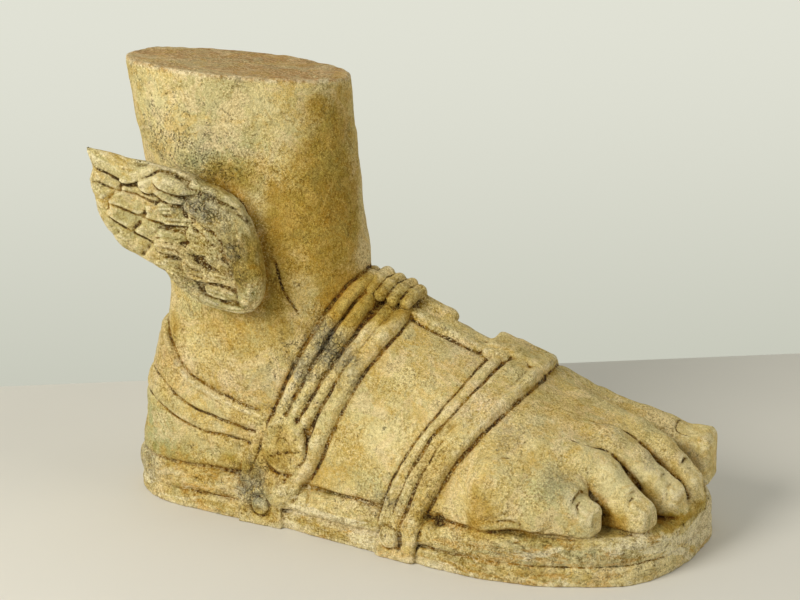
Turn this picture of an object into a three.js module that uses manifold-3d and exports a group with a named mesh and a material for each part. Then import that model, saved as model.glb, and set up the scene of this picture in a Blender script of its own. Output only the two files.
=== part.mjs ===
// A sandstone right foot in a winged sandal, carved as one block: the stump of the leg, the foot with its five
// toes, a two-layer sole, the straps and cords, and one wing on the outer side of the ankle.
// Millimetres, +Z up, toes towards +X, outer (little toe) side towards -Y. The form is worked out as one
// signed distance field on a grid, from the named sizes below; its skin is then thinned to few triangles, and
// the underside and the sawn top of the stump are cut flat.
import * as THREE from "three";
import { mergeVertices } from "three/addons/utils/BufferGeometryUtils.js";
import Module from "manifold-3d";

// ---------------------------------------------------------------- driving sizes
const CELL = 3.5; // grid step
const TRIANGLES = 9500; // size of the finished skin
const ORIGIN = [286.8, -7.0]; // middle of the foot's box, in the carving's own coordinates
const SOLE_TOP = 41, SOLE_LOWER = 16, SOLE_GROOVE = 1.5; // heights of the sole's two layers
const STUMP_TOP = 408.5, STUMP_SLOPE = [0.058, 0.07]; // the sawn-off top of the leg, lower in front and on the inner side
const COLOUR = 0xcbb57e;

// half outlines of the sole, heel to toe: outer side and inner side (x, y)
const SOLE_OUTER = [[14,0],[18,-20],[28,-36],[44,-50],[67,-60],[101,-67],[135,-72],[190,-79],[249,-92],[300,-104],[358,-116],[385,-120],[407,-122],[434,-120],[465,-113.5],[492,-104],[515,-91],[531,-75],[544,-51],[553,-21],[558.5,11],[560,34]];
const SOLE_INNER = [[554,60],[540,80],[515,96],[480,105],[440,108],[400,106],[358,98],[300,83],[249,72],[190,68],[135,69],[100,68],[70,62],[44,50],[28,36],[18,20]];
// sections of the foot against x: ridge height and place, outer and inner side, roundness of each side
const FOOT = {
  ridgeZ: [[60,120],[100,170],[150,210],[200,222],[240,214],[260,206],[285,196],[310,184],[335,172],[360,161],[385,152],[411,142],[433,129],[456,113],[480,101],[500,90]],
  ridgeY: [[60,0],[150,5],[240,12],[300,18],[360,24],[411,28],[456,32],[500,34]],
  outer: [[60,-52],[100,-60],[150,-67],[200,-74],[249,-85],[300,-97],[358,-108],[400,-112],[440,-108],[480,-98]],
  inner: [[60,54],[100,60],[150,60],[200,60],[249,64],[300,74],[358,89],[400,97],[440,99],[480,95]],
  roundOuter: [[60,2.3],[150,2.2],[240,1.9],[300,1.85],[360,1.95],[411,2.15],[480,2.2]],
  roundInner: [[60,2.4],[150,2.4],[300,2.3],[411,2.5],[480,2.5]],
};
const FOOT_BASE = 34;
// sections of the leg against z: half depth, half width, middle
const LEG = {
  a: [[80,70],[120,76],[160,88],[190,92],[215,95],[300,99],[403,103.4],[430,104]],
  b: [[80,50],[120,58],[160,66],[205,73],[300,79],[403,86],[430,87]],
  cx: [[80,130],[120,140],[160,143],[190,143],[215,145],[300,133],[403,118.6],[430,115.6]],
  cy: [[80,2],[205,4],[403,6]],
};
const HEEL = [[75,0,32,58],[79.5,0,97,52],[92,0,143,50],[105,0,172,52]]; // balls of the heel: x, y, z, radius
// toes, little toe first: x, y, z, radius at the joints
const TOES = [
  [[396,-84,70,34],[434,-85,71,24.5],[457,-86,67,20.3],[473,-88,57,17]],
  [[424,-52,88,29],[456,-52,84,25],[480,-54,77.5,20.5],[494,-57,67,17.5],[513,-61,53,18]],
  [[436,-14,97,28],[474,-16,90,23],[500,-19,80,17.5],[516,-20,68,16.5],[531,-20,58,16.5]],
  [[440,18,102,27],[488,16,92,21.5],[511,14,84,18],[528,12,72,15.5],[541,10,60,15.5]],
  [[405,60,88,40],[486,62,78,28],[503,62,76,26]],
];
const BIG_TOE = { c: [531, 62, 65.5], r: [23.5, 22, 24.5], tilt: -2, edge: 9 }; // its blunt end, flat on top
const TOE_LUMPS = [[[541,-18,41],[9,10,7]],[[548,-3,43],[8,10,9]],[[550,12,43],[8,9,8]]]; // stone left between the toe tips and the sole
const UNDERCUTS = [[[424,-123,45],[27,13,12]],[[452,-116,40],[20,10,8]]]; // hollows under the little toe and its ball
// cords of the straps: path (x, y, z), half width, height, flat or round
const CORDS = [
  { p: [[180,-68,94],[188,-66,112],[202,-62,142],[213,-53,169],[227,-38,195],[237,-21,212],[243,6,221]], w: 6.8, h: 6.0 },
  { p: [[192,-70,94],[203,-68,116],[219,-61,147],[231,-49,170],[241,-34,189],[250,-14,205],[256,6,210]], w: 7.6, h: 6.5 },
  { p: [[204,-74,94],[216,-72,113],[228,-66,135],[243,-55,159],[256,-38,179],[266,-17,193],[270,6,199]], w: 6.6, h: 6.0 },
  { p: [[192,-82,36],[200,-80,46],[215,-78,64],[225,-76,88],[240,-69,126],[252,-58,150],[265,-43,171],[276,-22,187],[280,4,195]], w: 8.4, h: 7.0 },
  { p: [[300,-102,37],[302,-98,50],[312,-94,73],[329,-83,105],[346,-65,129],[359,-37,146],[366,-6,156],[369,4,158]], w: 6.0, h: 4.5 },
  { p: [[314,-106,37],[319,-101,58],[335,-93,87],[354,-77,115],[372,-49,136],[383,-12,149],[386,0,150]], w: 11.5, h: 6.0, flat: true },
  { p: [[327,-110,38],[331,-104,52],[345,-99,80],[360,-87,103],[376,-69,122],[390,-41,136],[400,-7,145],[402,4,145]], w: 7.6, h: 7.0 },
  // inner side, plainer
  { p: [[246,20,221],[243,38,208],[236,52,190],[224,62,165],[210,67,140],[196,69,112],[188,70,84]], w: 8, h: 5.5 },
  { p: [[262,22,206],[258,42,194],[250,56,175],[238,65,150],[224,69,122],[206,71,92],[194,72,66]], w: 8, h: 6 },
  { p: [[279,24,196],[276,46,184],[268,60,162],[254,69,134],[236,73,102],[214,75,72],[196,74,48]], w: 8, h: 6 },
  { p: [[368,40,157],[362,62,142],[352,76,118],[342,84,88],[334,87,60],[330,86,38]], w: 7, h: 5 },
  { p: [[384,42,150],[379,66,134],[370,82,110],[360,89,82],[352,92,56],[348,92,38]], w: 10, h: 6, flat: true },
  { p: [[400,44,142],[396,70,126],[388,88,102],[379,95,74],[372,97,50],[369,97,38]], w: 7, h: 6.5 },
  // strip of two tails along the instep, and the bands that go down to the sole
  { p: [[270,6,200],[302,7,187],[325,9,176],[347,12,166],[368,18,158]], w: 14, h: 6, flat: true },
  { p: [[186,-69,104],[180,-70,78],[173,-70,60],[168,-71,48],[167,-72,38]], w: 24, h: 4.2, flat: true },
  { p: [[204,-78,74],[197,-80,58],[189,-81,44],[186,-81,36]], w: 15, h: 4.6, flat: true },
  { p: [[196,70,84],[186,70,64],[180,70,50],[178,70,38]], w: 22, h: 4, flat: true },
];
// borders of the two bands around the heel: height against x
const HEEL_TOP = [[14,170],[45,171],[60,166],[70,153],[82,137],[97,125],[117,116],[144,108],[180,101]];
const HEEL_G1 = [[14,126],[45,124],[66,116],[80,107],[97,99],[117,93],[143,88],[180,84]];
const HEEL_G2 = [[14,104],[47,101],[66,92],[79,86],[102,79],[138,75],[180,71]];
const ROSETTE = { x: 190, z: 79, rx: 25, rz: 27.5, h: 8, petals: 7 };
// bands over the edge of the sole: from x, to x, standing off, top, slant, side, edge
const SOLE_BANDS = [[146, 190, 3.6, 64, 0, -1, 2], [288, 335, 4.2, 64, 9, -1, 3], [156, 200, 3.8, 54, 0, 1, 3], [322, 376, 4.5, 54, 9, 1, 3]];
const STUDS = [[168.5, 18.5, 8.2, 3.2, 3.4], [304, 20, 9.6, 3.8, 3.6]]; // x, z, radius, the band's standing off, height
// rolls of the knot: from (x, y, z) to (x, y, z)
const KNOT = [[[250,-9,213],[256,18,221]],[[260,-10,209],[266,20,216]],[[271,-9,205],[277,22,211]],[[282,-6,202],[287,20,206]]];
const KNOT_R = [6.6, 7.2];
const LOOP = { c: [296, 22, 194], r: [20, 9, 6], tilt: 24, edge: 5.5 };
const LOOP_END = [[312, 24, 185], [10, 10, 8]];
const PLATE = [{ c: [370, 26, 158], r: [17, 20, 9], tilt: 17, edge: 5 }, { c: [389, 28, 150], r: [20, 21, 9.5], tilt: 22, edge: 5.5 }, { c: [364, 8, 157], r: [12, 11, 8], tilt: 17, edge: 4 }];
const STRAP_PIT = [[350, -108, 43], [8, 6, 6]]; // deep corner behind the front strap
// hollows cut along lines on the skin: half width, depth, path
const HOLLOWS = [
  [4.0, 2.4, [[451,-85,88],[462,-86,84],[472,-84,77],[480,-80,69],[486,-76,59],[489,-72,46]]],
  [2.8, 3.0, [[483,-39,99],[493,-38,88],[502,-38,78],[511,-40,67],[518,-42,55]]],
  [2.6, 3.0, [[499,-5,100],[510,-3,89],[518,-3,80],[528,-4,70]]],
  [2.6, 2.7, [[502,38,104],[516,38,93],[528,34,83],[541,26,76]]],
  [8.0, 3.2, [[427,-92,98],[428,-103,87],[424,-110,74],[419,-114,63]]],
  [2.4, 2.2, [[387,-117,50],[398,-117,54],[408,-115,57],[418,-111,64],[427,-108,71]]],
];
// the wing, drawn in x and z on a plane that stands off a little more towards its tip
const WING_PLANE = (x) => -110 + 0.12 * x;
const WING_EDGE = [[20,347],[53,340],[80,335],[103,330],[116,325],[126,318],[138,315],[154,305],[165,290],[173,268],[178,244],[179,226],[173,211],[162,203],[145,205],[126,210],[113,217],[104,223],[96,230],[91,237],[77,245],[65,252],[51,259],[40,271],[32,282],[28,292],[24,306],[22,318],[25,329]];
const WING_ARM = [[123,298,12.0],[143,289,14.5],[157,273,15.5],[164,254,15.5],[168,236,13.8],[167,221,12.0]];
const WING_LIP = [[119,320,4],[132,316,4],[144,311,4],[156,302,4]];
const WING_ROOT = [[118,-62,300,12],[142,-68,286,16],[152,-68,226,15]];
// lower borders of the leading strip and of the rows of long feathers, and the notches at the feather tips
const WING_ROWS = [
  [[21,334],[27,331],[38,327],[50,321],[61,316],[73,315],[93,307],[111,305]],
  [[22,317],[33,317],[51,311],[67,309],[79,303],[93,300],[111,299]],
  [[23,305],[39,300],[51,296],[72,288],[87,284],[105,278]],
  [[25,299],[35,290],[50,280],[65,273],[82,264],[97,259]],
];
const WING_NOTCHES = [[26,331,21,321],[56,318,51,311],[47,309,39,301],[41,295,35,290],[78,295,72,289],[70,283,63,277],[48,273,40,269],[77,261,70,254]];
// small ruffled feathers, then the leaf-shaped ones above them: tail x, z, tip x, z, half width, height
const WING_TUFTS = [[111,292,87,297,5.6,3.8],[94,268,71,279,6.5,2.8],[112,269,87,275,5.2,3.4],[133,267,114,277,6.5,4.6],[118,255,84,264,6.9,4.2],[145,256,114,264,5.6,4.2],[117,242,83,249,5.2,3.6],[135,233,109,249,7.7,4.8],[152,244,129,254,5.2,3.8],[120,228,92,238,6.5,4.6],[159,229,128,240,5.2,4.0],[160,216,130,228,5.2,4.0],[130,295,112,298,5.2,3.6]];
const WING_LEAVES = [[84,329,55,321,4.6,4.2],[96,322,72,317,7.6,5.2],[124,314,86,323,7.0,7.8],[112,304,85,310,4.2,3.6]];

// ---------------------------------------------------------------- small functions
const clamp = (v, a, b) => Math.min(b, Math.max(a, v));
const step = (a, b, x) => { const t = clamp((x - a) / (b - a), 0, 1); return t * t * (3 - 2 * t); };
const soft = (a, b, k) => { const h = clamp(0.5 + (0.5 * (b - a)) / k, 0, 1); return b * (1 - h) + a * h - k * h * (1 - h); };
const softMax = (a, b, k) => -soft(-a, -b, k);
const bell = (x, w) => Math.exp(-(x / w) * (x / w));
// smooth reading of a table of [x, value], made once into a fine list
function reader(table) {
  const n = table.length, x0 = table[0][0], x1 = table[n - 1][0], N = 400, out = new Float64Array(N + 1);
  const slope = table.map((p, i) => {
    const a = table[Math.max(i - 1, 0)], b = table[Math.min(i + 1, n - 1)];
    if (i === 0 || i === n - 1) return (b[1] - a[1]) / (b[0] - a[0]);
    const d0 = (p[1] - a[1]) / (p[0] - a[0]), d1 = (b[1] - p[1]) / (b[0] - p[0]);
    return (d1 * (p[0] - a[0]) + d0 * (b[0] - p[0])) / (b[0] - a[0]);
  });
  for (let k = 0, i = 0; k <= N; k++) {
    const x = x0 + ((x1 - x0) * k) / N;
    while (i < n - 2 && x > table[i + 1][0]) i++;
    const h = table[i + 1][0] - table[i][0], t = (x - table[i][0]) / h, t2 = t * t, t3 = t2 * t;
    out[k] = (2 * t3 - 3 * t2 + 1) * table[i][1] + (t3 - 2 * t2 + t) * h * slope[i] + (-2 * t3 + 3 * t2) * table[i + 1][1] + (t3 - t2) * h * slope[i + 1];
  }
  return (x) => { const q = (clamp((x - x0) / (x1 - x0), 0, 1)) * N, i = Math.min(N - 1, Math.floor(q)), f = q - i; return out[i] * (1 - f) + out[i + 1] * f; };
}
// straight-line reading of a table of [x, value]
const between = (table) => (x) => {
  if (x <= table[0][0]) return table[0][1];
  if (x >= table[table.length - 1][0]) return table[table.length - 1][1];
  let i = 0;
  while (x > table[i + 1][0]) i++;
  return table[i][1] + ((table[i + 1][1] - table[i][1]) * (x - table[i][0])) / (table[i + 1][0] - table[i][0]);
};
// distance to a line of [x, z, radius] as a share of the radius
function strip(line, x, z) {
  let d = 1e9;
  for (let i = 0; i < line.length - 1; i++) {
    const [ax, az, ar] = line[i], [bx, bz, br] = line[i + 1], dx = bx - ax, dz = bz - az;
    const t = clamp(((x - ax) * dx + (z - az) * dz) / (dx * dx + dz * dz), 0, 1);
    d = Math.min(d, Math.hypot(x - ax - t * dx, z - az - t * dz) / (ar + (br - ar) * t));
  }
  return d;
}
// closed outline through points, as a three.js shape's points
function outline(points, n) {
  const curve = new THREE.CatmullRomCurve3(points.map((p) => new THREE.Vector3(p[0], p[1], 0)), true, "centripetal");
  return new THREE.Shape(curve.getPoints(n).slice(0, -1).map((p) => new THREE.Vector2(p.x, p.y))).getPoints();
}
// signed distance to a closed outline, under zero inside
function outlineDistance(poly, x, y) {
  let d = 1e18, inside = false;
  for (let i = 0, j = poly.length - 1; i < poly.length; j = i++) {
    const a = poly[j], b = poly[i], ex = b.x - a.x, ey = b.y - a.y, wx = x - a.x, wy = y - a.y;
    const t = clamp((wx * ex + wy * ey) / (ex * ex + ey * ey), 0, 1), qx = wx - t * ex, qy = wy - t * ey;
    d = Math.min(d, qx * qx + qy * qy);
    if ((a.y <= y) !== (b.y <= y) && (ex * wy - ey * wx > 0) === (b.y > a.y)) inside = !inside;
  }
  return inside ? -Math.sqrt(d) : Math.sqrt(d);
}

// ---------------------------------------------------------------- the grid
const LO = [-12.3, -150.2, -16.3], HI = [574, 132, 446];
const SPARE = 10; // stone left past the two flat cuts
const N = LO.map((v, i) => Math.ceil((HI[i] - v) / CELL) + 1);
const field = new Float32Array(N[0] * N[1] * N[2]).fill(60);
const at = (i, j, k) => (i * N[1] + j) * N[2] + k;
function each(lo, hi, fn) {
  const a = lo.map((v, i) => clamp(Math.floor((v - LO[i]) / CELL), 0, N[i])), b = hi.map((v, i) => clamp(Math.ceil((v - LO[i]) / CELL) + 1, 0, N[i]));
  for (let i = a[0]; i < b[0]; i++) for (let j = a[1]; j < b[1]; j++) for (let k = a[2]; k < b[2]; k++)
    fn(LO[0] + i * CELL, LO[1] + j * CELL, LO[2] + k * CELL, at(i, j, k), i, j, k);
}
function join(s, k = 0) {
  const m = k + 3 * CELL;
  each(s.lo.map((v) => v - m), s.hi.map((v) => v + m), (x, y, z, n) => {
    const d = s.f(x, y, z);
    field[n] = k > 0 ? soft(field[n], d, k) : Math.min(field[n], d);
  });
}
function cut(s, k) {
  const m = k + 3 * CELL;
  each(s.lo.map((v) => v - m), s.hi.map((v) => v + m), (x, y, z, n) => { field[n] = softMax(field[n], -s.f(x, y, z), k); });
}
const around = (pts, r, f) => ({ f, lo: [0, 1, 2].map((i) => Math.min(...pts.map((p) => p[i])) - r), hi: [0, 1, 2].map((i) => Math.max(...pts.map((p) => p[i])) + r) });
function roundCone(a, b, ra, rb, sy = 1) {
  const d = [0, 1, 2].map((i) => b[i] - a[i]), L2 = d[0] * d[0] + d[1] * d[1] + d[2] * d[2];
  return around([a, b], Math.max(ra, rb), (x, y, z) => {
    const px = x - a[0], py = y - a[1], pz = z - a[2], t = clamp((px * d[0] + py * d[1] + pz * d[2]) / L2, 0, 1);
    return Math.hypot(px - t * d[0], (py - t * d[1]) * sy, pz - t * d[2]) - (ra + (rb - ra) * t);
  });
}
// a toe joint: a tapered round bar with a skirt straight down to the sole, so that nothing is hollow under it
function toeJoint(a, b) {
  const d = [0, 1, 2].map((i) => b[i] - a[i]), L2 = d[0] * d[0] + d[1] * d[1] + d[2] * d[2], M2 = d[0] * d[0] + d[1] * d[1], r = (t) => a[3] + (b[3] - a[3]) * t;
  const s = around([a, b], Math.max(a[3], b[3]), (x, y, z) => {
    const px = x - a[0], py = y - a[1], pz = z - a[2];
    let t = clamp((px * d[0] + py * d[1] + pz * d[2]) / L2, 0, 1);
    const bar = Math.hypot(px - t * d[0], py - t * d[1], pz - t * d[2]) - r(t);
    t = clamp((px * d[0] + py * d[1]) / M2, 0, 1);
    return soft(bar, Math.max(Math.hypot(px - t * d[0], py - t * d[1]) - 0.96 * r(t), pz - t * d[2] + 2), 3);
  });
  s.lo[2] = 34;
  return s;
}
function ball(c, r) {
  return around([c], Math.max(...r), (x, y, z) => {
    const p = [x - c[0], y - c[1], z - c[2]];
    const k0 = Math.hypot(p[0] / r[0], p[1] / r[1], p[2] / r[2]), k1 = Math.hypot(p[0] / r[0] ** 2, p[1] / r[1] ** 2, p[2] / r[2] ** 2);
    return (k0 * (k0 - 1)) / Math.max(k1, 1e-6);
  });
}
function slab(c, r, tilt, edge) { // rounded block, tilted nose down about Y
  const a = THREE.MathUtils.degToRad(tilt), co = Math.cos(a), si = Math.sin(a);
  return around([c], Math.max(...r) + 4, (x, y, z) => {
    const p = x - c[0], q = y - c[1], w = z - c[2];
    const d = [Math.abs(p * co - w * si) - r[0] + edge, Math.abs(q) - r[1] + edge, Math.abs(p * si + w * co) - r[2] + edge];
    return Math.hypot(Math.max(d[0], 0), Math.max(d[1], 0), Math.max(d[2], 0)) + Math.min(Math.max(...d), 0) - edge;
  });
}

// ---------------------------------------------------------------- leg, heel and foot
const leg = Object.fromEntries(Object.entries(LEG).map(([k, t]) => [k, reader(t)]));
join({ lo: [0, -95, 70], hi: [255, 100, 446], f: (x, y, z) => {
  const a = leg.a(z), dx = x - leg.cx(z), dy = y - leg.cy(z);
  const b = leg.b(z) * (1 - 0.1 * step(0, 100, dx) + 0.03 * step(0, 80, -dx));
  const k0 = Math.hypot(dx / a, dy / b), k1 = Math.hypot(dx / a ** 2, dy / b ** 2);
  return Math.max((k0 * (k0 - 1)) / Math.max(k1, 1e-6), 85 - z);
} });
for (let j = 0; j < HEEL.length - 1; j++) join(roundCone(HEEL[j], HEEL[j + 1], HEEL[j][3], HEEL[j + 1][3], 0.94), 12);
const foot = Object.fromEntries(Object.entries(FOOT).map(([k, t]) => [k, reader(t)]));
join({ lo: [80, -120, 20], hi: [480, 110, 235], f: (x, y, z) => {
  const zr = foot.ridgeZ(x), yr = foot.ridgeY(x), out = y < yr;
  const W = out ? yr - foot.outer(x) : foot.inner(x) - yr, H = zr - FOOT_BASE, p = out ? foot.roundOuter(x) : foot.roundInner(x);
  const t = Math.max(Math.abs(y - yr) / W, 1e-4), s = Math.max(Math.max(z - FOOT_BASE, 0) / H, 1e-4), r = (t ** p + s ** p) ** (1 / p);
  const g = Math.hypot((t / r) ** (p - 1) / W, (s / r) ** (p - 1) / H);
  return softMax(softMax((r - 1) / Math.max(g, 1 / 160), x - 462, 30), 90 - x, 20);
} }, 22);
join(ball([160, -52, 166], [28, 17, 32]), 30);
join(ball([172, 62, 182], [28, 20, 30]), 30);
for (const toe of TOES) for (let j = 0; j < toe.length - 1; j++) join(toeJoint(toe[j], toe[j + 1]), j ? 3.5 : 14);
join(slab(BIG_TOE.c, BIG_TOE.r, BIG_TOE.tilt, BIG_TOE.edge), 10);
for (const [c, r] of UNDERCUTS) cut(ball(c, r), 5);

// ---------------------------------------------------------------- sole
const soleEdge = outline([...SOLE_OUTER, ...SOLE_INNER], 220);
const soleD = new Float32Array(N[0] * N[1]);
for (let i = 0; i < N[0]; i++) for (let j = 0; j < N[1]; j++) soleD[i * N[1] + j] = outlineDistance(soleEdge, LO[0] + i * CELL, LO[1] + j * CELL);
const layer = (sd, z, off, z0, z1, edgeTop, edgeBottom = edgeTop) => {
  const m = (z0 + z1) / 2, r = z < m ? edgeBottom : edgeTop, d = sd - off + r, e = Math.abs(z - m) - (z1 - z0) / 2 + r;
  return Math.min(Math.max(d, e), 0) + Math.hypot(Math.max(d, 0), Math.max(e, 0)) - r;
};
each(LO, [HI[0], HI[1], 60], (x, y, z, n, i, j) => {
  const sd = soleD[i * N[1] + j], front = step(345, 430, x);
  const lower = layer(sd, z, -0.4 * front, -30, SOLE_LOWER + 1.5 * front, 4.5 - 1.5 * front);
  const upper = layer(sd, z, -1.8 * front, SOLE_LOWER + SOLE_GROOVE, SOLE_TOP, 9, 6.5 - 3.5 * front);
  const core = layer(sd, z, -5 + 1.5 * front, -30, SOLE_TOP - 8, 1);
  field[n] = soft(field[n] + 2.6 * bell(z - 42.5, 2.2), Math.min(lower, upper, core), 3);
});

// ---------------------------------------------------------------- straps
const skin = field.slice(), raised = new Float32Array(field.length);
function value(p) {
  const c = [0, 1, 2].map((i) => clamp((p[i] - LO[i]) / CELL, 0, N[i] - 1.001)), a = c.map(Math.floor), f = c.map((v, i) => v - a[i]);
  let r = 0;
  for (let m = 0; m < 8; m++) {
    const u = m & 1, v = (m >> 1) & 1, w = m >> 2;
    r += (u ? f[0] : 1 - f[0]) * (v ? f[1] : 1 - f[1]) * (w ? f[2] : 1 - f[2]) * skin[at(a[0] + u, a[1] + v, a[2] + w)];
  }
  return r;
}
function normal(p) {
  const e = 4, g = new THREE.Vector3(
    value([p[0] + e, p[1], p[2]]) - value([p[0] - e, p[1], p[2]]),
    value([p[0], p[1] + e, p[2]]) - value([p[0], p[1] - e, p[2]]),
    value([p[0], p[1], p[2] + e]) - value([p[0], p[1], p[2] - e]));
  return g.normalize();
}
function cord({ p, w, h, flat }) {
  const depth = 13, m = w + depth;
  const curve = new THREE.CatmullRomCurve3(p.map((q) => new THREE.Vector3(...q)), false, "catmullrom", 0.5);
  const C = curve.getSpacedPoints(Math.round(curve.getLength() / 6)).map((q) => {
    let r = [q.x, q.y, q.z];
    for (let k = 0; k < 8; k++) { const g = normal(r), v = clamp(value(r), -6, 6) * 0.9; r = [r[0] - g.x * v, r[1] - g.y * v, r[2] - g.z * v]; }
    return r;
  });
  const best = new Map();
  for (let i = 0; i < C.length - 1; i++) {
    const a = C[i], b = C[i + 1], d = new THREE.Vector3(b[0] - a[0], b[1] - a[1], b[2] - a[2]), L = d.length(), t = d.clone().divideScalar(L);
    const side = new THREE.Vector3().crossVectors(t, normal([(a[0] + b[0]) / 2, (a[1] + b[1]) / 2, (a[2] + b[2]) / 2])).normalize(), up = new THREE.Vector3().crossVectors(side, t);
    each([0, 1, 2].map((q) => Math.min(a[q], b[q]) - m), [0, 1, 2].map((q) => Math.max(a[q], b[q]) + m), (x, y, z, n) => {
      const px = x - a[0], py = y - a[1], pz = z - a[2], u = clamp((px * t.x + py * t.y + pz * t.z) / L, 0, 1);
      const qx = px - u * d.x, qy = py - u * d.y, qz = pz - u * d.z;
      const nn = qx * up.x + qy * up.y + qz * up.z;
      if (Math.abs(nn) > depth) return;
      const s = qx * side.x + qy * side.y + qz * side.z, al = qx * t.x + qy * t.y + qz * t.z, D = s * s + al * al;
      const old = best.get(n);
      if (D < w * w && (!old || D + 0.02 * nn * nn < old[0])) best.set(n, [D + 0.02 * nn * nn, Math.sqrt(D) / w]);
    });
  }
  for (const [n, [, s]] of best) raised[n] = Math.max(raised[n], h * (flat ? Math.min(1, (1 - s) * 4) : Math.sqrt(Math.max(0, 1 - s * s))));
}
CORDS.forEach(cord);
const top = reader(HEEL_TOP), g1 = reader(HEEL_G1), g2 = reader(HEEL_G2);
each([0, -80, 60], [188, 80, 190], (x, y, z, n) => {
  if (Math.abs(skin[n]) > 16) return;
  const T = top(x), A = g1(x), B = g2(x), b = (z - A) / (T - A), a = (z - B) / (A - B);
  let v = 0;
  if (b > 0 && b < 1) v = 3.2 * Math.min(1, Math.sqrt(b * (1 - b)) * 3.2) + 1.8 * bell(b - 0.88, 0.09);
  else if (a > 0 && a <= 1) v = 3.6 * Math.sqrt(a * (1 - a)) * 2;
  raised[n] = Math.max(raised[n], v * (0.25 + 0.75 * step(26, 70, x)) * (1 - step(172, 186, x)));
});
each([155, -100, 45], [225, -50, 115], (x, y, z, n) => {
  const dx = (x - ROSETTE.x) / ROSETTE.rx, dz = (z - ROSETTE.z) / ROSETTE.rz, r = Math.hypot(dx, dz);
  if (r >= 1 || y > -50 || Math.abs(skin[n]) > 16) return;
  const petal = 0.5 + 0.5 * Math.cos(ROSETTE.petals * Math.atan2(dz, dx));
  raised[n] = Math.max(raised[n], ROSETTE.h * Math.min(1, (1 - r) * 6) ** 0.6 * (0.84 + 0.16 * bell(r - 0.86, 0.1)) - 1.8 * (1 - petal) ** 4 * bell(r - 0.58, 0.26));
});
let eased = raised; // a light blur, so that a step comes out smooth
for (const s of [N[1] * N[2], N[2], 1]) {
  const b = eased.slice();
  for (let n = s; n < b.length - s; n++) b[n] = 0.5 * eased[n] + 0.25 * (eased[n - s] + eased[n + s]);
  eased = b;
}
for (let n = 0; n < field.length; n++) field[n] -= eased[n];
for (const [w, depth, path] of HOLLOWS) {
  const C = path.map((p) => { let r = p; for (let k = 0; k < 8; k++) { const g = normal(r), v = clamp(value(r), -6, 6) * 0.9; r = [r[0] - g.x * v, r[1] - g.y * v, r[2] - g.z * v]; } return r; });
  const deep = new Map();
  C.slice(1).forEach((b, i) => {
    const s = roundCone(C[i], b, 0, 0), m = Math.max(w * 2.6, 6);
    each(s.lo.map((v) => v - m), s.hi.map((v) => v + m), (x, y, z, n) => deep.set(n, Math.max(deep.get(n) || 0, depth * bell(s.f(x, y, z), w))));
  });
  for (const [n, v] of deep) field[n] += v;
}
for (const [c, r] of TOE_LUMPS) join(ball(c, r), 9);
for (const [a, b] of KNOT) {
  const m = [(a[0] + b[0]) / 2, (a[1] + b[1]) / 2, (a[2] + b[2]) / 2 + 2.5];
  join(roundCone(a, m, ...KNOT_R), 1.6);
  join(roundCone(m, b, ...KNOT_R), 1.6);
}
join(slab(LOOP.c, LOOP.r, LOOP.tilt, LOOP.edge), 2.5);
join(ball(...LOOP_END), 2.5);
for (const p of PLATE) join(slab(p.c, p.r, p.tilt, p.edge), 3);
for (const [x0, x1, out, zTop, slant, side, edge] of SOLE_BANDS)
  each([x0 - 16, LO[1], LO[2]], [x1 + 16, HI[1], 76], (x, y, z, n, i, j) => {
    const sd = soleD[i * N[1] + j], ends = softMax(x0 + (slant * z) / 48 - x, x - x1 - 0.015 * slant * (z - 45), 0.5);
    let d = softMax(ends, sd - out + 0.55 * softMax(z - 36, 0, 8), edge);
    d = softMax(softMax(d, z - zTop, 9), -sd - 16, 2);
    field[n] = soft(field[n], softMax(d, -y * side, 1), 2);
  });
for (const [x0, z0, r, out, h] of STUDS) {
  const i = Math.round((x0 - LO[0]) / CELL);
  let j = 0;
  while (soleD[i * N[1] + j] > out) j++;
  const y0 = LO[1] + j * CELL;
  each([x0 - 20, y0 - 12, -6], [x0 + 20, y0 + 14, z0 + 20], (x, y, z, n) => { if (Math.abs(field[n]) < 9) field[n] -= h * Math.sqrt(Math.max(0, 1 - (Math.hypot(x - x0, z - z0) / r) ** 4)); });
}
cut(ball(...STRAP_PIT), 3);

// ---------------------------------------------------------------- wing
for (let j = 0; j < 2; j++) join(roundCone(WING_ROOT[j], WING_ROOT[j + 1], WING_ROOT[j][3], WING_ROOT[j + 1][3]), j ? 12 : 10);
const wingEdge = outline(WING_EDGE, 120);
const rows = WING_ROWS.map(between), armMiddle = between([...WING_ARM].reverse().map(([x, z]) => [z, x]));
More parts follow.
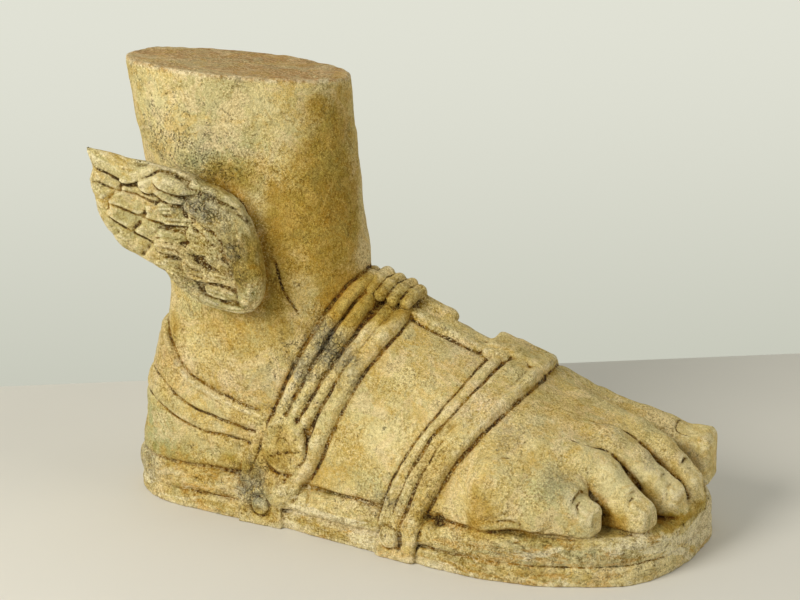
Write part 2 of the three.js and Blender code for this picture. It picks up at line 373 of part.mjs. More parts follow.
// a feather lying on the others, highest near its rounded tip
function tuft(x, z, [ax, az, bx, bz, w, h], i) {
  const L = Math.hypot(bx - ax, bz - az), ex = (bx - ax) / L, ez = (bz - az) / L, px = x - (ax + bx) / 2, pz = z - (az + bz) / 2;
  const s = (px * ex + pz * ez) / (L / 2 + 2), t = (pz * ex - px * ez + 1.6 * Math.sin(2.2 * s + i)) / (w * (1 + 0.18 * s)), e = Math.abs(s) ** 2.6 + t * t;
  return e < 1 ? h * Math.min(1, 1.35 * Math.sqrt(1 - e)) * (0.72 + 0.36 * s) + 0.6 : -9;
}
function feathers(x, z) {
  const zb = rows.map((r) => r(x));
  let R = 0;
  for (let k = 0; k < 5; k++) {
    const top = k ? zb[k - 1] : zb[0] + 17, bottom = k < 4 ? zb[k] : zb[3] - 24;
    if (z > top || z <= bottom) continue;
    const f = clamp((top - z) / Math.max(top - bottom, 1), 0, 1);
    R = k ? 0.6 + 1.5 * f : 2.2 + 2 * Math.sin(Math.PI * clamp(1.15 * f, 0, 1)) ** 0.8;
  }
  zb.forEach((q, k) => { R -= (k ? 1.5 : 2.6) * bell((z - q) * 0.9, 1.6) * step(112, 100, x); });
  for (const [x1, z1, x2, z2] of WING_NOTCHES) {
    const dx = x2 - x1, dz = z2 - z1, L = Math.hypot(dx, dz), t = clamp(((x - x1) * dx + (z - z1) * dz) / (L * L), 0, 1), mx = x - (x1 + x2) / 2, mz = z - (z1 + z2) / 2;
    const along = mx * 0.92 - mz * 0.38, across = mx * 0.38 + mz * 0.92;
    R += 1.3 * Math.exp(-Math.max(along, 0) / 16) * step(0, 3, along) * step(L * 0.75 + 4, L * 0.75 - 2, Math.abs(across)) - 3.6 * bell(Math.hypot(x - x1 - t * dx, z - z1 - t * dz), 2.2);
  }
  const zone = z < zb[1] + 2 ? step(-5, 5, x - (93 + 6 * Math.sin(z * 0.2))) : 0;
  R = R * (1 - zone) - 2 * zone;
  WING_TUFTS.forEach((w, i) => { R = Math.max(R, tuft(x, z, [...w.slice(0, 4), w[4] * 1.08, w[5] * 1.3], i)); });
  WING_LEAVES.forEach((w, i) => { const q = tuft(x, z, w, i + 3); if (q > -5) R = Math.max(R - 2, q + 1.2); });
  return R;
}
function relief(x, z, edge) {
  let R = feathers(x, z);
  const lip = strip(WING_LIP, x, z), arm = strip(WING_ARM, x, z);
  R += (Math.max(0, 3.4 * (1 - lip * lip)) - R * 0.6) * step(1.5, 0.9, lip) - 1.4 * bell(lip - 1.25, 0.3);
  // the arm's inner side runs out among the small feathers, its outer side is a clean edge
  const side = step(-4, 8, x - armMiddle(z) + Math.max(z - 285, 0) * 1.4), inner = 6.9 * step(1.22, 0.3, arm), outer = 3.4 + 3.8 * Math.sqrt(Math.max(0, 1 - arm ** 2.6));
  const A = arm < 1.25 ? inner + ((arm < 1 ? outer : 0) - inner) * side : 0;
  return Math.max(A, R * (step(0.25, 1.1, arm) * (1 - side) + side * step(0.9, 1.05, arm))) * (0.3 + 0.7 * edge ** 0.7);
}
const column = new Map();
each([14, -135, 196], [190, -55, 352], (x, y, z, n, i, j, k) => {
  const key = i * 1000 + k;
  let c = column.get(key);
  if (!c) {
    const sd = outlineDistance(wingEdge, x, z), edge = clamp(-sd / 8, 0, 1), yo = WING_PLANE(x), o = CELL / 3;
    let R = 0;
    for (const a of [-o, 0, o]) for (const b of [-o, 0, o]) R += relief(x + a, z + b, edge) / 9;
    c = { sd, front: yo - R + 3 * (1 - edge), back: yo + 10 + 6 * step(60, 130, x) - 3 * (1 - edge) };
    column.set(key, c);
  }
  field[n] = soft(field[n], softMax(softMax((c.front - y) * 0.8, y - c.back, 2), c.sd, 2.5) * 0.9, 2);
});
const stumpTop = (x, y) => STUMP_TOP - STUMP_SLOPE[0] * (x - 118) - STUMP_SLOPE[1] * (y - 6);
each(LO, HI, (x, y, z, n) => { field[n] = Math.max(field[n], -z - SPARE, z - stumpTop(x, y) - SPARE); });

// ---------------------------------------------------------------- skin of the field: six tetrahedra to a cell
function polygonise() {
  const pos = [], tri = [], seen = new Map(), TETS = [[0, 5, 1, 7], [0, 1, 3, 7], [0, 3, 2, 7], [0, 2, 6, 7], [0, 6, 4, 7], [0, 4, 5, 7]];
  const total = field.length;
  const point = (a, b) => {
    if (a > b) [a, b] = [b, a];
    const key = a * 64 + (b - a === 1 ? 1 : 0) + 0, id = a * total + b;
    let v = seen.get(id);
    if (v === undefined) {
      const fa = field[a] || 1e-6, fb = field[b] || 1e-6, t = clamp(fa / (fa - fb), 0.12, 0.88);
      const P = (n) => { const k = n % N[2], j = Math.floor(n / N[2]) % N[1], i = Math.floor(n / (N[1] * N[2])); return [LO[0] + i * CELL, LO[1] + j * CELL, LO[2] + k * CELL]; };
      const p = P(a), q = P(b);
      v = pos.length / 3;
      pos.push(p[0] + (q[0] - p[0]) * t, p[1] + (q[1] - p[1]) * t, p[2] + (q[2] - p[2]) * t);
      seen.set(id, v);
    }
    return v;
  };
  for (let i = 0; i < N[0] - 1; i++) for (let j = 0; j < N[1] - 1; j++) for (let k = 0; k < N[2] - 1; k++) {
    const c = [];
    let inside = 0;
    for (let m = 0; m < 8; m++) { const n = at(i + (m & 1), j + ((m >> 1) & 1), k + (m >> 2)); c.push(n); if (field[n] < 0) inside++; }
    if (!inside || inside === 8) continue;
    for (const T of TETS) {
      const q = T.map((m) => c[m]), neg = q.filter((n) => field[n] < 0), posi = q.filter((n) => !(field[n] < 0));
      if (!neg.length || !posi.length) continue;
      // positive volume when the four corners are in right-hand order
      const even = (list) => { const o = list.map((n) => q.indexOf(n)); let s = 1; for (let a = 0; a < 4; a++) for (let b = a + 1; b < 4; b++) if (o[a] > o[b]) s = -s; return s > 0; };
      if (neg.length === 1) { const f = even([neg[0], ...posi]), [a, b, d] = posi.map((n) => point(neg[0], n)); tri.push(...(f ? [a, b, d] : [a, d, b])); }
      else if (neg.length === 3) { const f = even([posi[0], ...neg]), [a, b, d] = neg.map((n) => point(n, posi[0])); tri.push(...(f ? [a, d, b] : [a, b, d])); }
      else {
        const f = even([...neg, ...posi]), a = point(neg[0], posi[0]), b = point(neg[0], posi[1]), d = point(neg[1], posi[1]), e = point(neg[1], posi[0]);
        tri.push(...(f ? [a, b, d, a, d, e] : [a, d, b, a, e, d]));
      }
    }
  }
  return { pos: new Float64Array(pos), tri: new Int32Array(tri) };
}
// keeps the largest body and drops specks
function largest({ pos, tri }) {
  const root = Int32Array.from({ length: pos.length / 3 }, (_, i) => i), find = (a) => { while (root[a] !== a) a = root[a] = root[root[a]]; return a; };
  for (let i = 0; i < tri.length; i += 3) { root[find(tri[i])] = find(tri[i + 1]); root[find(tri[i + 1])] = find(tri[i + 2]); }
  const count = new Map();
  for (let i = 0; i < tri.length; i += 3) { const r = find(tri[i]); count.set(r, (count.get(r) || 0) + 1); }
  const most = [...count].sort((a, b) => b[1] - a[1])[0][0];
  const keep = [];
  for (let i = 0; i < tri.length; i += 3) if (find(tri[i]) === most) keep.push(tri[i], tri[i + 1], tri[i + 2]);
  return { pos, tri: new Int32Array(keep) };
}

// ---------------------------------------------------------------- thinning by edge collapse, least error first
function thin({ pos, tri }, target) {
  const nv = pos.length / 3, nt = tri.length / 3, Q = new Float64Array(nv * 10), around_ = Array.from({ length: nv }, () => []), dead = new Uint8Array(nt), stamp = new Int32Array(nv);
  const P = (v) => [pos[3 * v], pos[3 * v + 1], pos[3 * v + 2]];
  const cross = (a, b, c) => { const u = [b[0] - a[0], b[1] - a[1], b[2] - a[2]], v = [c[0] - a[0], c[1] - a[1], c[2] - a[2]]; return [u[1] * v[2] - u[2] * v[1], u[2] * v[0] - u[0] * v[2], u[0] * v[1] - u[1] * v[0]]; };
  for (let t = 0; t < nt; t++) {
    const v = [tri[3 * t], tri[3 * t + 1], tri[3 * t + 2]], a = P(v[0]), n = cross(a, P(v[1]), P(v[2])), L = Math.hypot(...n) || 1e-12, m = n.map((q) => q / L), d = -(m[0] * a[0] + m[1] * a[1] + m[2] * a[2]), w = L / 2;
    const q = [m[0] * m[0], m[0] * m[1], m[0] * m[2], m[0] * d, m[1] * m[1], m[1] * m[2], m[1] * d, m[2] * m[2], m[2] * d, d * d];
    for (const x of v) { around_[x].push(t); for (let i = 0; i < 10; i++) Q[10 * x + i] += q[i] * w; }
  }
  const heap = [];
  const push = (e) => { let i = heap.length; heap.push(e); while (i) { const p = (i - 1) >> 1; if (heap[p][0] <= e[0]) break; heap[i] = heap[p]; i = p; } heap[i] = e; };
  const pop = () => { const out = heap[0], e = heap.pop(), n = heap.length; if (n) { let i = 0; for (;;) { let c = 2 * i + 1; if (c >= n) break; if (c + 1 < n && heap[c + 1][0] < heap[c][0]) c++; if (heap[c][0] >= e[0]) break; heap[i] = heap[c]; i = c; } heap[i] = e; } return out; };
  const err = (q, p) => q[0] * p[0] * p[0] + 2 * q[1] * p[0] * p[1] + 2 * q[2] * p[0] * p[2] + 2 * q[3] * p[0] + q[4] * p[1] * p[1] + 2 * q[5] * p[1] * p[2] + 2 * q[6] * p[1] + q[7] * p[2] * p[2] + 2 * q[8] * p[2] + q[9];
  function edge(a, b) {
    const q = []; for (let i = 0; i < 10; i++) q.push(Q[10 * a + i] + Q[10 * b + i]);
    const A = P(a), B = P(b), M = [(A[0] + B[0]) / 2, (A[1] + B[1]) / 2, (A[2] + B[2]) / 2], r = 2e-3 * (q[0] + q[4] + q[7]);
    const m = new THREE.Matrix3().set(q[0] + r, q[1], q[2], q[1], q[4] + r, q[5], q[2], q[5], q[7] + r), det = m.determinant();
    let p = M;
    if (Math.abs(det) > 1e-12) { const s = new THREE.Vector3(-q[3] + r * M[0], -q[6] + r * M[1], -q[8] + r * M[2]).applyMatrix3(m.invert()); p = [s.x, s.y, s.z]; if (Math.hypot(p[0] - M[0], p[1] - M[1], p[2] - M[2]) > 1.5 * Math.hypot(A[0] - B[0], A[1] - B[1], A[2] - B[2])) p = M; }
    const len = (A[0] - B[0]) ** 2 + (A[1] - B[1]) ** 2 + (A[2] - B[2]) ** 2;
    push([Math.max(0, err(q, p)) + 1e-4 * len, a, b, stamp[a], stamp[b], p]);
  }
  const ring = (v) => { const s = new Set(); for (const t of around_[v]) for (let i = 0; i < 3; i++) if (tri[3 * t + i] !== v) s.add(tri[3 * t + i]); return s; };
  let alive = nt;
  for (let pass = 0, last = 0; pass < 8 && alive > target && alive !== last; pass++) {
  last = alive;
  heap.length = 0;
  for (let t = 0; t < nt; t++) if (!dead[t]) for (let i = 0; i < 3; i++) { const a = tri[3 * t + i], b = tri[3 * t + ((i + 1) % 3)]; if (a < b) edge(a, b); }
  while (alive > target && heap.length) {
    const [, a, b, sa, sb, best] = pop();
    if (stamp[a] !== sa || stamp[b] !== sb) continue;
    const ra = ring(a), rb = ring(b);
    let common = 0;
    for (const v of ra) if (rb.has(v)) common++;
    if (common !== 2 || ra.size + rb.size < 8) continue;
    // the place of least error first, then the edge's middle and its ends
    const A = P(a), B = P(b), places = [best, [(A[0] + B[0]) / 2, (A[1] + B[1]) / 2, (A[2] + B[2]) / 2], A, B];
    const p = places.find((place) => [[a, b], [b, a]].every(([v, o]) => around_[v].every((t) => {
      const w = [tri[3 * t], tri[3 * t + 1], tri[3 * t + 2]];
      if (w.includes(o)) return true;
      const was = w.map(P), pts = w.map((x) => (x === v ? place : P(x))), before = cross(...was), after = cross(...pts), la = Math.hypot(...after), lb = Math.hypot(...before);
      const longest = (c) => Math.max(...[0, 1, 2].map((i) => (c[i][0] - c[(i + 1) % 3][0]) ** 2 + (c[i][1] - c[(i + 1) % 3][1]) ** 2 + (c[i][2] - c[(i + 1) % 3][2]) ** 2));
      const qa = la / (longest(pts) + 1e-12), qb = lb / (longest(was) + 1e-12);
      if (qa < 0.05 && qa < qb) return false;
      return !(lb > 0.8 && before[0] * after[0] + before[1] * after[1] + before[2] * after[2] < 0.1 * la * lb);
    })));
    const ok = p !== undefined;
    if (!ok) continue;
    for (const t of around_[b]) {
      if (tri[3 * t] === a || tri[3 * t + 1] === a || tri[3 * t + 2] === a) { dead[t] = 1; alive--; }
      else { for (let i = 0; i < 3; i++) if (tri[3 * t + i] === b) tri[3 * t + i] = a; around_[a].push(t); }
    }
    for (const v of [a, ...ra, ...rb]) around_[v] = around_[v].filter((t) => !dead[t]);
    around_[b] = []; stamp[b]++; stamp[a]++;
    pos[3 * a] = p[0]; pos[3 * a + 1] = p[1]; pos[3 * a + 2] = p[2];
    for (let i = 0; i < 10; i++) Q[10 * a + i] += Q[10 * b + i];
    for (const v of ring(a)) edge(Math.min(a, v), Math.max(a, v));
  }
  }
  const index = [], used = new Map(), out = [];
  for (let t = 0; t < nt; t++) if (!dead[t]) for (let i = 0; i < 3; i++) {
    const v = tri[3 * t + i];
    if (!used.has(v)) { used.set(v, out.length / 3); out.push(pos[3 * v] - ORIGIN[0], pos[3 * v + 1] - ORIGIN[1], pos[3 * v + 2]); }
    index.push(used.get(v));
  }
  return new THREE.BufferGeometry().setAttribute("position", new THREE.BufferAttribute(new Float32Array(out), 3)).setIndex(index);
}

// ---------------------------------------------------------------- the two flat cuts
const wasm = await Module();
wasm.setup();
const solid = (g) => new wasm.Manifold(new wasm.Mesh({ numProp: 3, vertProperties: new Float32Array(g.attributes.position.array), triVerts: new Uint32Array(g.index.array) }));
const block = new THREE.BoxGeometry(700, 400, 500).translate(0, 0, 250);
for (let i = 0, p = block.attributes.position; i < p.count; i++) if (p.getZ(i) > 1) p.setZ(i, stumpTop(p.getX(i) + ORIGIN[0], p.getY(i) + ORIGIN[1]));
block.deleteAttribute("normal");
block.deleteAttribute("uv");
const cutMesh = solid(thin(largest(polygonise()), TRIANGLES)).intersect(solid(mergeVertices(block))).getMesh();
const geometry = new THREE.BufferGeometry().setAttribute("position", new THREE.BufferAttribute(new Float32Array(cutMesh.vertProperties), 3)).setIndex([...cutMesh.triVerts]);
geometry.computeVertexNormals();
const winged_foot = new THREE.Mesh(geometry, new THREE.MeshStandardMaterial({ color: COLOUR, roughness: 0.93, metalness: 0 }));
winged_foot.name = "winged_foot";
const group = new THREE.Group();
group.add(winged_foot);
export default group;
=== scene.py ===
"""Looks of the carved sandstone winged foot: one solid stone piece, worked out as a signed distance field
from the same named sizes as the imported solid, at a finer step, with the feathers, cords, nails, wear and grain."""
import bpy
import math
from mathutils import Matrix, Vector

import numpy as np


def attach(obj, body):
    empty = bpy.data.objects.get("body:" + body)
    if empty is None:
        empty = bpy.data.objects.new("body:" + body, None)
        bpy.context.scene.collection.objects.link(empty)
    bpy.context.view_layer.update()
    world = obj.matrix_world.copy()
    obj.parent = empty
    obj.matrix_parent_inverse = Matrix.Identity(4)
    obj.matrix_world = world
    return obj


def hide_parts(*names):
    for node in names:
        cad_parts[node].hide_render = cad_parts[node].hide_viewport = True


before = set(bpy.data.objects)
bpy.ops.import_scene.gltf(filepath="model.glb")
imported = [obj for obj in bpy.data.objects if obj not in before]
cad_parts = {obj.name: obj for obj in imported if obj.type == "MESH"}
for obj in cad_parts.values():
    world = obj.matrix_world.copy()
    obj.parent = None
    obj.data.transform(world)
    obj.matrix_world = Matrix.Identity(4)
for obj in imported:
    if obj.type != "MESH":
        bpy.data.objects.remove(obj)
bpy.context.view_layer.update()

f32=np.float32

# ---------- small field helpers ----------
def smin(a,b,k):
    h=np.clip(0.5+0.5*(b-a)/k,0,1)
    return b*(1-h)+a*h-k*h*(1-h)
def smax(a,b,k):
    return -smin(-a,-b,k)
def sstep(a,b,x):
    t=np.clip((x-a)/(b-a),0,1)
    return t*t*(3-2*t)
def lerp_tab(x,tab):
    """monotone cubic-ish interpolation of a table [(x,v),...] by Catmull-Rom in v"""
    xs=np.array([t[0] for t in tab],float); vs=np.array([t[1] for t in tab],float)
    x=np.asarray(x,float)
    xc=np.clip(x,xs[0],xs[-1])
    i=np.clip(np.searchsorted(xs,xc,side='right')-1,0,len(xs)-2)
    m=np.zeros(len(xs))
    d=(vs[1:]-vs[:-1])/(xs[1:]-xs[:-1])
    m[1:-1]=(d[1:]*(xs[1:-1]-xs[:-2])+d[:-1]*(xs[2:]-xs[1:-1]))/(xs[2:]-xs[:-2])
    m[0]=d[0]; m[-1]=d[-1]
    hh=xs[i+1]-xs[i]; t=(xc-xs[i])/hh
    return ((2*t**3-3*t**2+1)*vs[i]+(t**3-2*t**2+t)*hh*m[i]+(-2*t**3+3*t**2)*vs[i+1]+(t**3-t**2)*hh*m[i+1])

class Grid:
    def __init__(s,lo,hi,h):
        s.h=h; s.lo=np.array(lo,float); s.n=[int(np.ceil((b-a)/h))+1 for a,b in zip(lo,hi)]
        s.F=np.full(s.n,60.0,f32)
        s.ax=[(s.lo[i]+h*np.arange(s.n[i])).astype(f32) for i in range(3)]
    def box(s,lo,hi):
        sl=[];c=[]
        for i in range(3):
            a=int(np.clip(np.floor((lo[i]-s.lo[i])/s.h),0,s.n[i])); b=int(np.clip(np.ceil((hi[i]-s.lo[i])/s.h)+1,0,s.n[i]))
            sl.append(slice(a,b))
            sh=[1,1,1]; sh[i]=-1
            c.append(s.ax[i][a:b].reshape(sh))
        return tuple(sl),c
    def union(s,fn,lo,hi,k=0.0):
        m=k+3*s.h
        sl,(X,Y,Z)=s.box([a-m for a in lo],[b+m for b in hi])
        if min(s.F[sl].shape)==0: return
        d=fn(X,Y,Z).astype(f32)
        s.F[sl]=np.minimum(s.F[sl],d) if k<=0 else smin(s.F[sl],d,k)
    def cut(s,fn,lo,hi,k=0.0):
        m=k+3*s.h
        sl,(X,Y,Z)=s.box([a-m for a in lo],[b+m for b in hi])
        if min(s.F[sl].shape)==0: return
        d=fn(X,Y,Z).astype(f32)
        s.F[sl]=np.maximum(s.F[sl],-d) if k<=0 else smax(s.F[sl],-d,k)
    def disp(s,fn,lo,hi):
        """F -= fn : positive values raise the surface"""
        sl,(X,Y,Z)=s.box(lo,hi)
        if min(s.F[sl].shape)==0: return
        s.F[sl]-=fn(X,Y,Z,s.F[sl]).astype(f32)

def rcone(a,b,ra,rb,sy=1.0):
    """round cone between a and b (tapered capsule), fast approximate distance; sy scales y about the line"""
    a=np.array(a,float); b=np.array(b,float); d=b-a; L2=float(d@d)
    def fn(X,Y,Z):
        px=X-a[0]; py=Y-a[1]; pz=Z-a[2]
        t=np.clip((px*d[0]+py*d[1]+pz*d[2])/L2,0,1)
        qx=px-t*d[0]; qy=(py-t*d[1])*sy; qz=pz-t*d[2]
        return np.sqrt(qx*qx+qy*qy+qz*qz)-(ra+(rb-ra)*t)
    r=max(ra,rb)
    lo=np.minimum(a,b)-r; hi=np.maximum(a,b)+r
    return fn,lo,hi
def ellipsoid(c,r,rot=None):
    c=np.array(c,float); r=np.array(r,float)
    R=np.eye(3) if rot is None else rot
    def fn(X,Y,Z):
        px=X-c[0]; py=Y-c[1]; pz=Z-c[2]
        q=[px*R[i,0]+py*R[i,1]+pz*R[i,2] for i in range(3)]
        k0=np.sqrt((q[0]/r[0])**2+(q[1]/r[1])**2+(q[2]/r[2])**2)
        k1=np.sqrt((q[0]/r[0]**2)**2+(q[1]/r[1]**2)**2+(q[2]/r[2]**2)**2)
        return k0*(k0-1)/np.maximum(k1,1e-6)
    m=max(r)
    return fn,c-m,c+m
def rotm(axis,deg):
    a=np.radians(deg); c,s=np.cos(a),np.sin(a)
    if axis=='x': return np.array([[1,0,0],[0,c,s],[0,-s,c]])
    if axis=='y': return np.array([[c,0,-s],[0,1,0],[s,0,c]])
    return np.array([[c,s,0],[-s,c,0],[0,0,1]])

def rot_box(c,r,ang,rr):
    R=rotm('y',ang); c=np.array(c,float)
    def fn(X,Y,Z):
        q=[(X-c[0])*R[i,0]+(Y-c[1])*R[i,1]+(Z-c[2])*R[i,2] for i in range(3)]
        d=[np.abs(q[i])-r[i]+rr for i in range(3)]
        return np.sqrt(np.maximum(d[0],0)**2+np.maximum(d[1],0)**2+np.maximum(d[2],0)**2)+np.minimum(np.maximum(np.maximum(d[0],d[1]),d[2]),0)-rr
    m=max(r)+4
    return fn,c-m,c+m

# ---------- named sizes (mm) ----------
L=560.0            # sole length
SOLE_T=41.0        # sole thickness
SOLE_LOWER=16.0    # height of the groove
LAT=[(14,0),(18,-20),(28,-36),(44,-50),(67,-60),(101,-67),(135,-72),(190,-79),(249,-92),(300,-104),(358,-116),(385,-120),(407,-122),(434,-120),(465,-113.5),(492,-104),(515,-91),(531,-75),(544,-51),(553,-21),(558.5,11),(560,34)]
MED=[(14,0),(18,20),(28,36),(44,50),(70,62),(100,68),(135,69),(190,68),(249,72),(300,83),(358,98),(400,106),(440,108),(480,105),(515,96),(540,80),(554,60),(560,34)]
def sole_poly(n=160):
    """closed outline resampled through Catmull-Rom splines"""
    P=[(x,y) for x,y in LAT]+[(x,y) for x,y in MED[::-1][1:-1]]
    P=np.array(P,float)
    out=[]
    m=len(P)
    for i in range(m):
        p0,p1,p2,p3=P[i-1],P[i],P[(i+1)%m],P[(i+2)%m]
        # centripetal
        t01=max(np.linalg.norm(p1-p0)**.5,1e-3); t12=max(np.linalg.norm(p2-p1)**.5,1e-3); t23=max(np.linalg.norm(p3-p2)**.5,1e-3)
        m1=(p2-p1)+t12*((p1-p0)/t01-(p2-p0)/(t01+t12)); m2=(p2-p1)+t12*((p3-p2)/t23-(p3-p1)/(t12+t23))
        for s_ in np.linspace(0,1,6,endpoint=False):
            out.append((2*s_**3-3*s_**2+1)*p1+(s_**3-2*s_**2+s_)*m1+(-2*s_**3+3*s_**2)*p2+(s_**3-s_**2)*m2)
    return np.array(out)
def poly_sd(PX,PY,P):
    """signed distance (negative inside) of 2-D grid points to the closed polygon P"""
    d=np.full(PX.shape,1e9); inside=np.zeros(PX.shape,bool)
    n=len(P)
    for i in range(n):
        a=P[i]; b=P[(i+1)%n]
        ex,ey=b-a; wx=PX-a[0]; wy=PY-a[1]
        t=np.clip((wx*ex+wy*ey)/(ex*ex+ey*ey),0,1)
        d=np.minimum(d,(wx-t*ex)**2+(wy-t*ey)**2)
        c=((a[1]<=PY)&(b[1]>PY)&((ex*wy-ey*wx)>0))|((a[1]>PY)&(b[1]<=PY)&((ex*wy-ey*wx)<0))
        inside^=c
    return np.sqrt(d)*np.where(inside,-1,1)

BODY=dict(
 zr=[(60,120),(100,170),(150,210),(200,222),(240,214),(260,206),(285,196),(310,184),(335,172),(360,161),(385,152),(411,142),(433,129),(456,113),(480,101),(500,90)],
 yr=[(60,0),(150,5),(240,12),(300,18),(360,24),(411,28),(456,32),(500,34)],
 yl=[(60,-52),(100,-60),(150,-67),(200,-74),(249,-85),(300,-97),(358,-108),(400,-112),(440,-108),(480,-98)],
 ym=[(60,54),(100,60),(150,60),(200,60),(249,64),(300,74),(358,89),(400,97),(440,99),(480,95)],
 pl=[(60,2.3),(150,2.2),(240,1.9),(300,1.85),(360,1.95),(411,2.15),(480,2.2)],
 pm=[(60,2.4),(150,2.4),(300,2.3),(411,2.5),(480,2.5)],
)
Z0=34.0
def tab(n,x):
    return lerp_tab(np.ravel(x),n).reshape(np.shape(x)).astype(f32)
def body_fn(X,Y,Z):
    zr,yr,yl,ym,pl,pm=[tab(BODY[n],X) for n in ('zr','yr','yl','ym','pl','pm')]
    lat=Y<yr
    t=np.where(lat,(yr-Y)/(yr-yl),(Y-yr)/(ym-yr))
    p=np.where(lat,pl,pm)
    s=np.maximum(Z-Z0,0)/(zr-Z0)
    t=np.maximum(t,1e-4); s=np.maximum(s,1e-4)
    r=(t**p+s**p)**(1/p)
    W=np.where(lat,yr-yl,ym-yr); H=zr-Z0
    g2=np.sqrt(((t/r)**(p-1)/W)**2+((s/r)**(p-1)/H)**2)
    return (r-1)/np.maximum(g2,1/160.0)
LEG=dict(a=[(80,70),(120,76),(160,88),(190,92),(215,95),(300,99),(403,103.4),(430,104)],
         b=[(80,50),(120,58),(160,66),(205,73),(300,79),(403,86),(430,87)],
         cx=[(80,130),(120,140),(160,143),(190,143),(215,145),(300,133),(403,118.6),(430,115.6)],
         cy=[(80,2),(205,4),(403,6)])
def leg_fn(X,Y,Z):
    a,b,cx,cy=[tab(LEG[n],Z) for n in ('a','b','cx','cy')]
    dx=(X-cx); dy=(Y-cy)
    b2=b*(1-0.10*sstep(0,100,dx)+0.03*sstep(0,-80,dx))
    k0=np.sqrt((dx/a)**2+(dy/b2)**2); k1=np.sqrt((dx/a**2)**2+(dy/b2**2)**2)
    d=k0*(k0-1)/np.maximum(k1,1e-6)
    return np.maximum(d,85-Z)
HEEL=[(75,0,32,58),(79.5,0,97,52),(92,0,143,50),(105,0,172,52)]
TOES=dict(
 A=[(396,-84,70,34),(434,-85,71,24.5),(457,-86,67,20.3),(473,-88,57,17)],
 B=[(424,-52,88,29),(456,-52,84,25),(480,-54,77.5,20.5),(494,-57,67,17.5),(513,-61,53,18)],
 C=[(436,-14,97,28),(474,-16,90,23),(500,-19,80,17.5),(516,-20,68,16.5),(531,-20,58,16.5)],
 D=[(440,18,102,27),(488,16,92,21.5),(511,14,84,18),(528,12,72,15.5),(541,10,60,15.5)],
 E=[(405,60,88,40),(486,62,78,28),(503,62,76,26)],
)
def toe(a,b,ra,rb):
    """a toe joint: a tapered round bar with a skirt straight down to the sole, so nothing is hollow under it"""
    a=np.array(a,float); b=np.array(b,float); d=b-a; L2=float(d@d); M2=float(d[0]**2+d[1]**2)
    def fn(X,Y,Z):
        px=X-a[0]; py=Y-a[1]; pz=Z-a[2]
        t=np.clip((px*d[0]+py*d[1]+pz*d[2])/L2,0,1)
        bar=np.sqrt((px-t*d[0])**2+(py-t*d[1])**2+(pz-t*d[2])**2)-(ra+(rb-ra)*t)
        t=np.clip((px*d[0]+py*d[1])/M2,0,1)
        skirt=np.sqrt((px-t*d[0])**2+(py-t*d[1])**2)-0.96*(ra+(rb-ra)*t)
        return smin(bar,np.maximum(skirt,pz-t*d[2]+2),3)
    r=max(ra,rb)
    lo=np.minimum(a,b)-r; hi=np.maximum(a,b)+r; lo[2]=34
    return fn,lo,hi
def build_body(h):
    G=Grid((2,-136,-6),(570,120,425),h)
    G.union(leg_fn,(0,-95,70),(255,100,425),0)
    for j in range(3):
        a,b=HEEL[j],HEEL[j+1]
        fn,lo,hi_=rcone(a[:3],b[:3],a[3],b[3],0.94)
        G.union(fn,lo,hi_,12)
    def body(X,Y,Z):
        d=body_fn(X,Y,Z)
        d=smax(d,X-462,30); d=smax(d,90-X,20)
        return d
    G.union(body,(80,-120,20),(480,110,235),22)
    for c,r in (((160,-52,166),(28,17,32)),((172,62,182),(28,20,30))):
        fn,lo,hi_=ellipsoid(c,r); G.union(fn,lo,hi_,30)
    for n,J in TOES.items():
        for j in range(len(J)-1):
            a,b=J[j],J[j+1]
            fn,lo,hi_=toe(a[:3],b[:3],a[3],b[3])
            G.union(fn,lo,hi_,14 if j==0 else 3.5)
    # flat nail beds and squared tips
    for c,r,cuts in (((473,-88,57),17,(((0.50,-0.42,0.76),2.6),((0.93,-0.32,0.06),2.4))),((513,-61,53),18,(((0.52,-0.30,0.80),2.8),((0.95,-0.25,0.06),2.8))),
            ((531,-20,58),16.5,(((0.60,-0.22,0.77),2.4),((0.96,-0.20,0.06),2.4))),((541,10,60),15.5,(((0.62,-0.10,0.78),2.2),((0.98,0,0.06),2.2)))):
        c=np.array(c,float)
        for n,dep in cuts:
            n=np.array(n,float); n/=np.linalg.norm(n); m=c+n*r
            def facet(X,Y,Z,c=c,n=n,r=r,dep=dep,m=m):
                s=(X-c[0])*n[0]+(Y-c[1])*n[1]+(Z-c[2])*n[2]
                return np.maximum(r-dep-s,np.sqrt((X-m[0])**2+(Y-m[1])**2+(Z-m[2])**2)-17)
            G.cut(facet,m-20,m+20,1.6)
    # big toe: flat upturned tip
    fn,lo,hi_=rot_box((531,62,65.5),(23.5,22,24.5),-2,9); G.union(fn,lo,hi_,10)
    for c,r in (((424,-123,45),(27,13,12)),((452,-116,40),(20,10,8))):
        fn,lo,hi_=ellipsoid(c,r); G.cut(fn,lo,hi_,5)
    P=sole_poly()
    sl,(X,Y,Z)=G.box((-14,-170,-9),(576,150,60))
    G.F[sl]+=(2.6*np.exp(-((Z-42.5)/2.2)**2)).astype(f32)
    PX,PY=np.meshgrid(G.ax[0],G.ax[1],indexing='ij')
    sd=poly_sd(PX,PY,P).astype(f32)[:,:,None]
    def layer(off,z0,z1,r,r2=None):
        m=(z0+z1)/2; r=np.where(Z<m,r if r2 is None else r2,r).astype(f32)
        d=sd-off+r; e=np.abs(Z-m)-(z1-z0)/2+r
        return np.minimum(np.maximum(d,e),0)+np.sqrt(np.maximum(d,0)**2+np.maximum(e,0)**2)-r
    front=(sstep(345,430,X)*np.ones_like(Y)).astype(f32)
    low=layer(-0.4*front,-30,SOLE_LOWER+1.5*front,4.5-1.5*front)
    up=layer(-1.8*front,SOLE_LOWER+1.5,SOLE_T,9.0,6.5-3.5*front)
    core=layer(-5+1.5*front,-30,SOLE_T-8,1)
    S=np.minimum(np.minimum(low,up),core)
    G.F[sl]=smin(G.F[sl],S,3)
    return G
